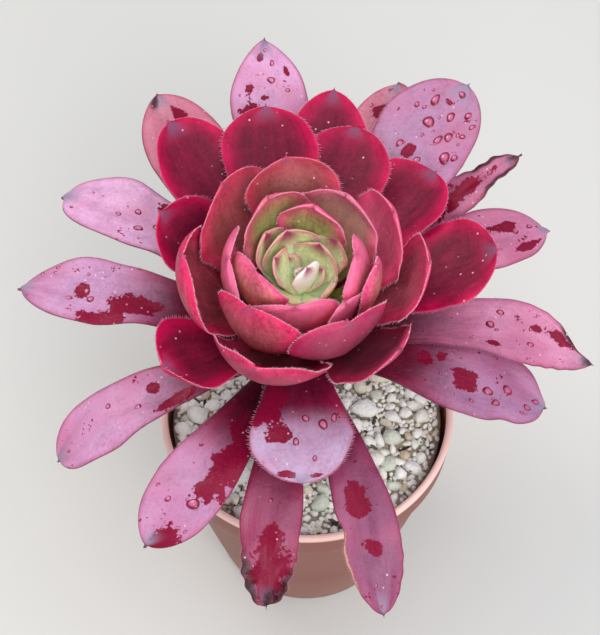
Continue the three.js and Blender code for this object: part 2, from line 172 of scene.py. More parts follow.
def turned(vectors, axes, angles):
    """Each vector turned about its axis by its angle in radians (Rodrigues' formula)."""
    cosine = np.cos(angles)[..., None]
    sine = np.sin(angles)[..., None]
    along = np.sum(vectors * axes, axis=-1, keepdims=True)
    return vectors * cosine + np.cross(axes, vectors) * sine + axes * along * (1.0 - cosine)


# ------------------------------------------------------------------ meshes

def tube_faces(rows, ring):
    """Quads of a closed tube of rows rings, and fans to a pole point before and after them.

    The points are rows * ring ring points, then the first pole, then the last.
    """
    i, j = np.meshgrid(np.arange(rows - 1), np.arange(ring), indexing="ij")
    k = (j + 1) % ring
    quads = np.stack([i * ring + j, i * ring + k, (i + 1) * ring + k, (i + 1) * ring + j], -1)
    j = np.arange(ring)
    k = (j + 1) % ring
    first = np.stack([k, j, np.full(ring, rows * ring)], -1)
    top = (rows - 1) * ring
    last = np.stack([top + j, top + k, np.full(ring, rows * ring + 1)], -1)
    return quads.reshape(-1, 4), np.concatenate([first, last])


def enclosed_volume(points, quads, triangles):
    """The signed volume inside the faces: the sum of their tetrahedra with the origin."""
    corners = np.concatenate([quads[:, [0, 1, 2]], quads[:, [0, 2, 3]], triangles])
    a, b, c = (points[corners[:, n]] for n in range(3))
    return float(np.sum(np.einsum("ij,ij->i", a, np.cross(b, c)))) / 6.0


class Shape:
    """Points in millimetres, quads and triangles, and named values at the points."""

    def __init__(self, points, quads, triangles=None, values=None):
        self.points = np.asarray(points, float).reshape(-1, 3)
        self.quads = np.asarray(quads, int).reshape(-1, 4)
        self.triangles = np.zeros((0, 3), int) if triangles is None else np.asarray(triangles, int)
        self.values = values or {}

    def facing_out(self):
        """The same shape with its faces turned over where they pointed in."""
        if enclosed_volume(self.points - self.points.mean(0), self.quads, self.triangles) < 0.0:
            self.quads = self.quads[:, ::-1]
            self.triangles = self.triangles[:, ::-1]
        return self

    def mesh(self, name):
        """A Blender mesh of the shape, in metres."""
        mesh = bpy.data.meshes.new(name)
        faces = self.quads.tolist() + self.triangles.tolist()
        mesh.from_pydata((self.points * MM).tolist(), [], faces)
        return mesh


def joined(shapes):
    """One shape that holds all the shapes, with their values one after another."""
    starts = np.cumsum([0] + [len(shape.points) for shape in shapes])
    quads = np.concatenate([shape.quads + start for shape, start in zip(shapes, starts)])
    triangles = np.concatenate([shape.triangles + start for shape, start in zip(shapes, starts)])
    names = shapes[0].values
    values = {name: np.concatenate([shape.values[name] for shape in shapes]) for name in names}
    return Shape(np.concatenate([shape.points for shape in shapes]), quads, triangles, values)


def put_in_scene(name, data):
    """A new object that holds the data, linked into the scene."""
    thing = bpy.data.objects.new(name, data)
    bpy.context.scene.collection.objects.link(thing)
    return thing


def build_piece(name, shape, material, replaces=()):
    """Makes a smooth mesh object of the shape and ties it to the frame."""
    mesh = shape.mesh(name)
    mesh.polygons.foreach_set("use_smooth", np.ones(len(mesh.polygons), bool))
    for key, values in shape.values.items():
        if values.ndim == 2:
            layer = mesh.attributes.new(key, "FLOAT_COLOR", "POINT")
            colours = np.concatenate([values, np.ones((len(values), 1))], 1)
            layer.data.foreach_set("color", colours.astype(np.float32).ravel())
        else:
            layer = mesh.attributes.new(key, "FLOAT", "POINT")
            layer.data.foreach_set("value", values.astype(np.float32))
    mesh.update()
    mesh.materials.append(material)
    piece = put_in_scene(name, mesh)
    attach(piece, "root")
    if replaces:
        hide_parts(*replaces)
    return piece


# ------------------------------------------------------------------ materials

# Settings that many nodes share: a Mix of two colours, and a ramp with soft ends.
COLOUR_MIX = dict(out=2, data_type="RGBA")
SOFT_ENDS = dict(interpolation_type="SMOOTHSTEP")

# Pattern scales on Object coordinates, in features to the metre: 1000 over the size in
# millimetres of what they draw. The satin grain is really finer and is drawn as coarse as shows.
LEAF_CLOUDS = 55.0        # 18 mm
LEAF_BLOTCHES = 170.0     # 6 mm
LEAF_MOTTLE = 950.0       # 1 mm
DUST_SPACING = 260.0      # 4 mm
HAIR_TINT = 500.0         # 2 mm
WATER_RIPPLE = 700.0      # 1.4 mm
MELT_STREAKS = 260.0      # 4 mm
RUBBED_PATCHES = 45.0     # 22 mm
SATIN_GRAIN = 1600.0      # 0.6 mm
PUMICE_PITS = 1300.0      # 0.8 mm
PUMICE_STAINS = 420.0     # 2.4 mm
SOIL_CRUMBS = 520.0       # 2 mm
SOIL_DUST = 700.0         # 1.4 mm
BARK_FIBRES = 1500.0      # 0.7 mm
CORK_GRAIN = 480.0        # 2 mm
FLOOR_CLOUDS = 3.0        # 330 mm

# Streaks along a leaf, in features across its half width, and how much they are drawn out.
LEAF_STREAKS = 8.0
STREAK_STRETCH = 0.3

# How far streaks and mottling move the edge between margin and centre, in millimetres, and the
# colour of soaked skin and its strength.
BAND_WANDER = 4.0
SOAKED_SKIN = "#7d0a2e"
SOAKING = 0.85

# Where the painted highlight on the pot's rounded lip starts and is full, and how high the dust reaches, in
# metres.
LIP_SHEEN = (0.0835, 0.0852)
DUST_TOP = 0.03

def paint(hex_colour):
    """A linear red, green and blue with full cover, from an sRGB hex value."""
    red_green_blue = [int(hex_colour[n:n + 2], 16) / 255.0 for n in (1, 3, 5)]
    linear = [c / 12.92 if c <= 0.04045 else ((c + 0.055) / 1.055) ** 2.4 for c in red_green_blue]
    return (*linear, 1.0)


def add(tree, kind, inputs=None, out=0, **settings):
    """Adds one shader node with its settings, fills or links its inputs, and gives an output."""
    node = tree.nodes.new("ShaderNode" + kind)
    for key, value in settings.items():
        setattr(node, key, value)
    for key, value in (inputs or {}).items():
        if isinstance(value, bpy.types.NodeSocket):
            tree.links.new(value, node.inputs[key])
        else:
            node.inputs[key].default_value = value
    return node.outputs[out] if len(node.outputs) else node


def start_material(name):
    """An empty material and its node tree."""
    material = bpy.data.materials.new(name)
    material.use_nodes = True
    tree = material.node_tree
    tree.nodes.clear()
    return material, tree


def finish_material(tree, **inputs):
    """Ends the tree in one surface shader. Names are the shader's inputs, with _ for a space."""
    named = {key.replace("_", " "): value for key, value in inputs.items()}
    shader = add(tree, "BsdfPrincipled", named)
    add(tree, "OutputMaterial", {"Surface": shader})


def leaf_fields(tree):
    """The values that a leaf's points hold, and patterns of several sizes to break them up."""
    place = add(tree, "TexCoord", out=3)
    names = ("along", "across", "inset", "upper", "wet", "dry", "straw", "cover", "lot")
    fields = {name: add(tree, "Attribute", out=2, attribute_name=name) for name in names}
    fields["tone"] = add(tree, "Attribute", out=0, attribute_name="tone")
    stretched = add(tree, "Math", {0: fields["along"], 1: STREAK_STRETCH}, operation="MULTIPLY")
    lane = add(tree, "CombineXYZ", {"X": fields["across"], "Y": stretched, "Z": fields["lot"]})
    cloud = {"Vector": place, "Scale": LEAF_CLOUDS, "Detail": 2.0}
    blotch = {"Vector": place, "Scale": LEAF_BLOTCHES, "Detail": 5.0, "Roughness": 0.6}
    fine = {"Vector": place, "Scale": LEAF_MOTTLE, "Detail": 4.0, "Roughness": 0.6}
    streak = {"Vector": lane, "Scale": LEAF_STREAKS, "Detail": 5.0, "Roughness": 0.62}
    dust = {"Vector": place, "Scale": DUST_SPACING, "Randomness": 1.0}
    return SimpleNamespace(
        **fields,
        cloud=add(tree, "TexNoise", cloud),
        blotch=add(tree, "TexNoise", blotch),
        fine=add(tree, "TexNoise", fine),
        streak=add(tree, "TexNoise", streak),
        dust=add(tree, "TexVoronoi", dust, feature="F1"),
    )


def leaf_flesh(tree, leaf, flesh, back, band, foot):
    """The flesh: margin to centre by the distance from the margin, the root's own colour at the
    root, each face by itself, and all of it mottled darker and lighter."""
    wander = add(tree, "Math", {0: leaf.streak, 1: BAND_WANDER, 2: leaf.inset}, operation="MULTIPLY_ADD")
    wander = add(tree, "Math", {0: leaf.fine, 1: BAND_WANDER, 2: wander}, operation="MULTIPLY_ADD")
    deep = {"Value": wander, "From Min": band[0] + BAND_WANDER, "From Max": band[1] + BAND_WANDER}
    deep = add(tree, "MapRange", deep, **SOFT_ENDS)
    rootward = {"Value": leaf.along, "From Min": foot[1], "From Max": foot[0]}
    rootward = add(tree, "MapRange", rootward, **SOFT_ENDS)
    faces = []
    for margin, centre, root in (back, flesh):
        colour = add(tree, "Mix", {0: deep, 6: paint(margin), 7: paint(centre)}, **COLOUR_MIX)
        faces.append(add(tree, "Mix", {0: rootward, 6: colour, 7: paint(root)}, **COLOUR_MIX))
    colour = add(tree, "Mix", {0: leaf.upper, 6: faces[0], 7: faces[1]}, **COLOUR_MIX)
    mottle = add(tree, "Math", {0: leaf.streak, 1: 0.8, 2: leaf.blotch}, operation="MULTIPLY_ADD")
    mottle = add(tree, "Math", {0: leaf.fine, 1: 0.9, 2: mottle}, operation="MULTIPLY_ADD")
    shade = {"Value": mottle, "From Min": 0.95, "From Max": 1.75, "To Min": 0.5, "To Max": 1.5}
    return add(tree, "VectorMath", {0: colour, 3: add(tree, "MapRange", shade)}, operation="SCALE")


def washed_skin(tree, leaf, flecks):
    """1 where water has washed the bloom off the upper face, in ragged patches and, as strongly as
    flecks says, in small flecks."""
    ragged = add(tree, "Math", {0: leaf.blotch, 1: 2.4, 2: leaf.wet}, operation="MULTIPLY_ADD")
    ragged = add(tree, "Math", {0: leaf.fine, 1: 1.0, 2: ragged}, operation="MULTIPLY_ADD")
    patch = add(tree, "MapRange", {"Value": ragged, "From Min": 1.7, "From Max": 1.76})
    fleck = add(tree, "Math", {0: leaf.blotch, 1: 2.0, 2: leaf.fine}, operation="MULTIPLY_ADD")
    fleck = {"Value": fleck, "From Min": 1.84, "From Max": 1.9, "To Max": flecks}
    washed = add(tree, "Math", {0: patch, 1: add(tree, "MapRange", fleck)}, operation="MAXIMUM")
    return add(tree, "Math", {0: washed, 1: leaf.upper}, operation="MULTIPLY")


def bloom_and_sheen_film(tree, leaf, washed, bloom):
    """How thickly the bloom covers the skin, and with it the painted sheen of the sky that its tone
    carries: uneven in clouds and streaks, thin at the margin, as far as the leaf's cover and bloom
    say, and none where the skin is washed."""
    uneven = add(tree, "Math", {0: leaf.streak, 1: 0.4, 2: leaf.blotch}, operation="MULTIPLY_ADD")
    uneven = add(tree, "Math", {0: leaf.cloud, 1: 0.9, 2: uneven}, operation="MULTIPLY_ADD")
    uneven = add(tree, "Math", {0: leaf.fine, 1: 0.9, 2: uneven}, operation="MULTIPLY_ADD")
    film = {"Value": uneven, "From Min": 1.2, "From Max": 1.7, "To Min": 0.62, "To Max": 1.0}
    film = add(tree, "MapRange", film)
    thinning = {"Value": leaf.inset, "From Min": 0.1, "From Max": 1.5, "To Min": 0.5, "To Max": 1.0}
    for share in (add(tree, "MapRange", thinning), leaf.cover, bloom):
        film = add(tree, "Math", {0: film, 1: share}, operation="MULTIPLY")
    bare = add(tree, "Math", {0: 1.0, 1: washed}, operation="SUBTRACT")
    return add(tree, "Math", {0: film, 1: bare}, operation="MULTIPLY", use_clamp=True)


def bloom_and_sheen_colour(tree, leaf, body, washed, film, flush):
    """The body's colour under its bloom, whose tone is partly a painted sheen of the sky, with flushed
    clouds in it, and crimson where it is wet.
    """
    colour, strength = flush
    flushed = {"Value": leaf.cloud, "From Min": 0.42, "From Max": 0.7, "To Max": strength}
    flushed = add(tree, "MapRange", flushed)
    # Painted sheen: the bloom's lavender tone partly stands for the sky mirrored in the skin.
    bloom_sheen_tone = add(tree, "Mix", {0: flushed, 6: leaf.tone, 7: paint(colour)}, **COLOUR_MIX)
    body = add(tree, "Mix", {0: film, 6: body, 7: bloom_sheen_tone}, **COLOUR_MIX)
    soaked = add(tree, "Math", {0: washed, 1: SOAKING}, operation="MULTIPLY")
    return add(tree, "Mix", {0: soaked, 6: body, 7: paint(SOAKED_SKIN)}, **COLOUR_MIX)


def tip_spot(tree, leaf, body, tip):
    """The body's colour with the spot at the leaf's end."""
    colour, start, width, strength = tip
    tipward = {"Value": leaf.along, "From Min": start, "From Max": mixed(start, 1.0, 0.8)}
    tipward = add(tree, "MapRange", tipward, **SOFT_ENDS)
    aside = add(tree, "Math", {0: leaf.across}, operation="ABSOLUTE")
    middle = {"Value": aside, "From Min": width, "From Max": width * 0.2}
    middle = add(tree, "MapRange", middle, **SOFT_ENDS)
    spot = add(tree, "Math", {0: tipward, 1: middle}, operation="MULTIPLY")
    spot = add(tree, "Math", {0: spot, 1: strength}, operation="MULTIPLY")
    return add(tree, "Mix", {0: spot, 6: body, 7: paint(colour)}, **COLOUR_MIX)


def dried_tissue(tree, leaf, body):
    """The body's colour with its dried patches: maroon, brown or straw."""
    husk = add(tree, "MapRange", {"Value": leaf.blotch, "From Min": 0.5, "From Max": 0.68}, **SOFT_ENDS)
    husk = add(tree, "Mix", {0: husk, 6: paint("#2b0911"), 7: paint("#7c3f45")}, **COLOUR_MIX)
    husk = add(tree, "Mix", {0: leaf.straw, 6: husk, 7: paint("#c09a7c")}, **COLOUR_MIX)
    dried = add(tree, "Math", {0: leaf.fine, 1: 0.5, 2: leaf.dry}, operation="MULTIPLY_ADD")
    dried = {"Value": dried, "From Min": 0.4, "From Max": 0.85, "To Max": 0.92}
    dried = add(tree, "MapRange", dried, **SOFT_ENDS)
    return add(tree, "Mix", {0: dried, 6: body, 7: husk}, **COLOUR_MIX)


def margin_line(tree, leaf, body, edge):
    """The body's colour with the thin line along its margin."""
    colour, strength = edge
    line = {"Value": leaf.inset, "From Min": 0.4, "From Max": 0.1, "To Max": strength}
    line = add(tree, "MapRange", line, **SOFT_ENDS)
    return add(tree, "Mix", {0: line, 6: body, 7: paint(colour)}, **COLOUR_MIX)


def dust_specks(tree, leaf, body):
    """The body's colour with pale specks of dust and scale here and there."""
    speck = add(tree, "MapRange", {"Value": leaf.dust, "From Min": 0.1, "From Max": 0.05})
    sparse = add(tree, "MapRange", {"Value": leaf.blotch, "From Min": 0.42, "From Max": 0.47})
    speck = add(tree, "Math", {0: speck, 1: sparse}, operation="MULTIPLY")
    speck = add(tree, "Math", {0: speck, 1: 0.8}, operation="MULTIPLY")
    return add(tree, "Mix", {0: speck, 6: body, 7: paint("#e3bfc9")}, **COLOUR_MIX)


def leaf_skin(name, flesh, back, band, foot, tip, edge, flush, bloom, roughness, shine, glow,
              flecks=0.0):
    """Living leaf skin: a waxy cuticle over coloured flesh, satin where bare, dull under bloom and
    glossy where wet.

    flesh is (margin, centre, root) seen from above and back the same from below. band says how
    far in from the margin, in millimetres, the centre's colour starts and is full, and foot where
    along the leaf the root's colour is full and where it ends. tip is the colour of the end, where
    it starts along the leaf, how wide it is and how strong. edge is the margin's thin line and its
    strength, and flush the clouds in the bloom and theirs. The powdery bloom lies over the flesh
    as far as bloom says, in the leaf's own tone, which is partly a painted sheen of the sky, and is
    gone where water has lain and, as strongly as flecks says, in small ragged flecks. roughness and
    shine are the bare skin's roughness and specular level, and glow is how much light passes
    through the flesh.
    """
    material, tree = start_material(name)
    leaf = leaf_fields(tree)
    body = leaf_flesh(tree, leaf, flesh, back, band, foot)
    washed = washed_skin(tree, leaf, flecks)
    # The film is the bloom together with the painted sheen of the sky that its tone carries.
    film = bloom_and_sheen_film(tree, leaf, washed, bloom)
    body = bloom_and_sheen_colour(tree, leaf, body, washed, film, flush)
    body = tip_spot(tree, leaf, body, tip)
    body = dried_tissue(tree, leaf, body)
    body = margin_line(tree, leaf, body, edge)
    body = dust_specks(tree, leaf, body)

    dulled = {"Value": film, "From Min": 0.0, "From Max": 1.0, "To Min": roughness, "To Max": 0.42}
    dulled = add(tree, "MapRange", dulled)
    surface = add(tree, "Math", {0: washed, 1: -0.2, 2: dulled}, operation="MULTIPLY_ADD")
    mirror = {"Value": film, "From Min": 0.0, "From Max": 0.8, "To Min": shine, "To Max": 0.55}
    mirror = add(tree, "MapRange", mirror)
    relief = add(tree, "Math", {0: leaf.fine, 1: 0.35, 2: leaf.blotch}, operation="MULTIPLY_ADD")
    relief = add(tree, "Math", {0: leaf.streak, 1: 0.6, 2: relief}, operation="MULTIPLY_ADD")
    relief = add(tree, "Math", {0: washed, 1: 0.25, 2: relief}, operation="MULTIPLY_ADD")
    bumped = add(tree, "Bump", {"Height": relief, "Strength": 0.45, "Distance": 0.0009})
    finish_material(
        tree, Base_Color=body, Roughness=surface, IOR=1.45, Specular_IOR_Level=mirror, Normal=bumped,
        Subsurface_Weight=glow, Subsurface_Radius=(0.004, 0.0012, 0.0012), Subsurface_Scale=0.6,
    )
    return material


def fringe_hair(name, colour):
    """Fine, dry, translucent hairs: pale, soft and rather rough."""
    material, tree = start_material(name)
    place = add(tree, "TexCoord", out=3)
    vary = add(tree, "TexNoise", {"Vector": place, "Scale": HAIR_TINT})
    body = add(tree, "Mix", {0: vary, 6: paint(colour), 7: paint("#f0bccb")}, **COLOUR_MIX)
    finish_material(tree, Base_Color=body, Roughness=0.6, IOR=1.4)
    return material


def water_bead():
    """A bead of clear water on dark leaf skin, drawn opaque: its thick rim is painted with the crimson
    skin seen through the water, and its middle with a painted reflection of the pale sky over the
    leaf's bloom."""
    material, tree = start_material("water_bead")
    rim = add(tree, "Attribute", out=2, attribute_name="rim")
    tone = add(tree, "Attribute", out=0, attribute_name="tone")
    place = add(tree, "TexCoord", out=3)
    vary = add(tree, "TexNoise", {"Vector": place, "Scale": WATER_RIPPLE})
    # Painted see-through: the rim is painted the crimson of the skin under the water.
    ring = add(tree, "Math", {0: vary, 1: 0.4, 2: rim}, operation="MULTIPLY_ADD")
    ring = add(tree, "MapRange", {"Value": ring, "From Min": 0.62, "From Max": 0.9}, **SOFT_ENDS)
    # Painted reflection: the pale middle stands for the sky mirrored in the water.
    pale = add(tree, "Mix", {0: 0.6, 6: tone, 7: paint("#b8305f")}, **COLOUR_MIX)
    body = add(tree, "Mix", {0: ring, 6: pale, 7: paint("#7d0a2f")}, **COLOUR_MIX)
    finish_material(tree, Base_Color=body, Roughness=0.05, IOR=1.33, Coat_Weight=0.5, Coat_Roughness=0.03)
    return material


def moulded_polypropylene():
    """Injection-moulded terracotta polypropylene: satin and slightly waxy, faintly streaked by the
    melt's flow, rubbed darker in patches and dusty low down. Its terracotta is painted darker with
    the shade that the leaves cast on the pot, and a painted highlight runs along the lip."""
    material, tree = start_material("moulded_polypropylene")
    place = add(tree, "TexCoord", out=3)
    height = add(tree, "SeparateXYZ", {0: place}, out=2)
    flow = add(tree, "Mapping", {"Vector": place, "Scale": (1.0, 1.0, 0.12)})
    streaks = add(tree, "TexNoise", {"Vector": flow, "Scale": MELT_STREAKS, "Detail": 4.0})
    cloud = add(tree, "TexNoise", {"Vector": place, "Scale": RUBBED_PATCHES, "Detail": 5.0})
    grain = add(tree, "TexNoise", {"Vector": place, "Scale": SATIN_GRAIN, "Detail": 2.0})
    # Painted shade: both body colours, and the rubbed patches' colour below, are the terracotta darkened for
    # the shade that the leaves cast on the pot.
    body = add(tree, "Mix", {0: streaks, 6: paint("#7c4337"), 7: paint("#915548")}, **COLOUR_MIX)
    rubbed = add(tree, "MapRange", {"Value": cloud, "From Min": 0.45, "From Max": 0.8, "To Max": 0.55})
    body = add(tree, "Mix", {0: rubbed, 6: body, 7: paint("#783f34")}, **COLOUR_MIX)
    # Painted highlight: the top of the lip is painted pale where the light falls on it.
    lip = {"Value": height, "From Min": LIP_SHEEN[0], "From Max": LIP_SHEEN[1]}
    lip = add(tree, "MapRange", lip, **SOFT_ENDS)
    body = add(tree, "Mix", {0: lip, 6: body, 7: paint("#f6cabf")}, **COLOUR_MIX)
    low = add(tree, "MapRange", {"Value": height, "From Min": DUST_TOP, "From Max": 0.0, "To Max": 0.4})
    dust = add(tree, "Math", {0: low, 1: cloud}, operation="MULTIPLY")
    body = add(tree, "Mix", {0: dust, 6: body, 7: paint("#b9a491")}, **COLOUR_MIX)
    rough = add(tree, "MapRange", {"Value": streaks, "To Min": 0.42, "To Max": 0.56})
    bumped = add(tree, "Bump", {"Height": grain, "Strength": 0.1, "Distance": 0.0002})
    finish_material(tree, Base_Color=body, Roughness=rough, IOR=1.49, Normal=bumped)
    return material


def pumice():
    """Crushed pumice and perlite: chalky stones full of pits, from white to tan and grey-green, with painted
    shade in the pits.
    """
    material, tree = start_material("pumice")
    place = add(tree, "TexCoord", out=3)
    tone = add(tree, "Attribute", out=0, attribute_name="tone")
    pits = add(tree, "TexVoronoi", {"Vector": place, "Scale": PUMICE_PITS}, feature="F1")
    stain = {"Vector": place, "Scale": PUMICE_STAINS, "Detail": 5.0, "Roughness": 0.65}
    stain = add(tree, "TexNoise", stain)
    stained = add(tree, "MapRange", {"Value": stain, "From Min": 0.52, "From Max": 0.8, "To Max": 0.3})
    body = add(tree, "Mix", {0: stained, 6: tone, 7: paint("#d0c6ad")}, **COLOUR_MIX)
    # Painted shade: the pits are painted darker for the shade that falls in them.
    pit_shade = add(tree, "MapRange", {"Value": pits, "From Min": 0.3, "From Max": 0.05, "To Max": 0.28})
    body = add(tree, "Mix", {0: pit_shade, 6: body, 7: paint("#a89e8f")}, **COLOUR_MIX)
    relief = add(tree, "Math", {0: stain, 1: 1.4, 2: pits}, operation="MULTIPLY_ADD")
    bumped = add(tree, "Bump", {"Height": relief, "Strength": 0.55, "Distance": 0.0005})
    finish_material(tree, Base_Color=body, Roughness=0.88, IOR=1.5, Normal=bumped)
    return material


def potting_soil():
    """Peat and bark soil under a dressing of pumice: brown crumbs, pale with the stones' dust."""
    material, tree = start_material("potting_soil")
    place = add(tree, "TexCoord", out=3)
    crumbs = {"Vector": place, "Scale": SOIL_CRUMBS, "Detail": 6.0, "Roughness": 0.7}
    crumbs = add(tree, "TexNoise", crumbs)
    dusty = add(tree, "TexVoronoi", {"Vector": place, "Scale": SOIL_DUST}, feature="F1")
    body = add(tree, "Mix", {0: crumbs, 6: paint("#7d6a57"), 7: paint("#cdbda6")}, **COLOUR_MIX)
    pale = add(tree, "MapRange", {"Value": dusty, "From Min": 0.2, "From Max": 0.08, "To Max": 0.8})
    body = add(tree, "Mix", {0: pale, 6: body, 7: paint("#d8ccb8")}, **COLOUR_MIX)
    bumped = add(tree, "Bump", {"Height": crumbs, "Strength": 1.0, "Distance": 0.0012})
    finish_material(tree, Base_Color=body, Roughness=0.92, IOR=1.45, Normal=bumped)
    return material


def bark_chip():
    """Shreds of bark and dead leaf: fibrous, brown to grey."""
    material, tree = start_material("bark_chip")
    place = add(tree, "TexCoord", out=3)
    tone = add(tree, "Attribute", out=0, attribute_name="tone")
    fibre = add(tree, "TexNoise", {"Vector": place, "Scale": BARK_FIBRES, "Detail": 4.0})
    body = add(tree, "Mix", {0: fibre, 6: tone, 7: paint("#3b2c22")}, **COLOUR_MIX)
    bumped = add(tree, "Bump", {"Height": fibre, "Strength": 0.6, "Distance": 0.0004})
    finish_material(tree, Base_Color=body, Roughness=0.85, IOR=1.45, Normal=bumped)
    return material


def stem_bark():
    """Grey-brown succulent stem: matt and corky, with paler crescent leaf scars."""
    material, tree = start_material("stem_bark")
    place = add(tree, "TexCoord", out=3)
    scar = add(tree, "Attribute", out=2, attribute_name="scar")
    cork = add(tree, "TexNoise", {"Vector": place, "Scale": CORK_GRAIN, "Detail": 6.0, "Roughness": 0.65})
    body = add(tree, "Mix", {0: cork, 6: paint("#5c4a3b"), 7: paint("#a08a6f")}, **COLOUR_MIX)
    body = add(tree, "Mix", {0: scar, 6: body, 7: paint("#c0a98a")}, **COLOUR_MIX)
    bumped = add(tree, "Bump", {"Height": cork, "Strength": 0.7, "Distance": 0.0006})
    finish_material(tree, Base_Color=body, Roughness=0.78, IOR=1.45, Normal=bumped)
    return material


def studio_floor():
    """Pale matt studio sweep."""
    material, tree = start_material("studio_floor")
    place = add(tree, "TexCoord", out=3)
    cloud = add(tree, "TexNoise", {"Vector": place, "Scale": FLOOR_CLOUDS, "Detail": 3.0})
    body = add(tree, "Mix", {0: cloud, 6: paint("#c9c6c1"), 7: paint("#d3d1cc")}, **COLOUR_MIX)
    finish_material(tree, Base_Color=body, Roughness=0.8, IOR=1.45)
    return material


# ------------------------------------------------------------------ the leaves

# How the leaves of each age are made. root and point shape the outline, and dimple and crease the
# face, in millimetres. grid is the number of rows and of points round each row. fringe gives the
# hairs' length, spacing and radius.
AGES = {
    "outer": dict(dimple=0.65, crease=0.22, root=0.36, point=0.6, grid=(76, 48), fringe=(0.6, 0.9, 0.10)),
    "middle": dict(crease=0.07, root=0.34, point=0.52, grid=(64, 56), fringe=(1.3, 0.72, 0.13)),
    "inner": dict(root=0.34, point=0.52, grid=(56, 56), fringe=(1.35, 0.62, 0.14)),
    "core": dict(root=0.36, point=0.52, grid=(48, 48), fringe=(1.2, 0.6, 0.15)),
    "heart": dict(root=0.5, point=0.52, grid=(22, 24), fringe=(0.5, 0.7, 0.08)),
}

# Where a margin has wasted away: the side (1 left, -1 right), how far along the blade, how far it
# reaches each way, and how much of the half width is gone.
CHEWED_EDGE = (-1, 0.8, 0.05, 0.14)
CURLED_CORNER = (1, 0.95, 0.1, 0.8)
NOTCH = (-1, 0.7, 0.05, 0.25)

# The tones of the bloom: on old leaves, where they are partly a painted sheen of the sky, on the
# leaves round the heart, and at the growing point.
LAVENDER = "#cd97bf"
PALE_LAVENDER = "#dba8d0"
GREY_LAVENDER = "#bb8ab2"
HEATHER = "#b783ab"
LILAC = "#a8789e"
SLATE = "#b79cbc"
ROSE = "#cc82a6"
DUSKY_ROSE = "#bb7293"
SALMON = "#d27f94"
PLUM = "#84476a"
MULBERRY = "#85405f"
WINE = "#8a2450"
HAZE = "#d27c96"
BLUSH = "#ea6c96"
OLIVE = "#6f6236"
CREAM = "#fdfdf2"
LIME = "#eef0b4"
SPRING = "#dde4b8"
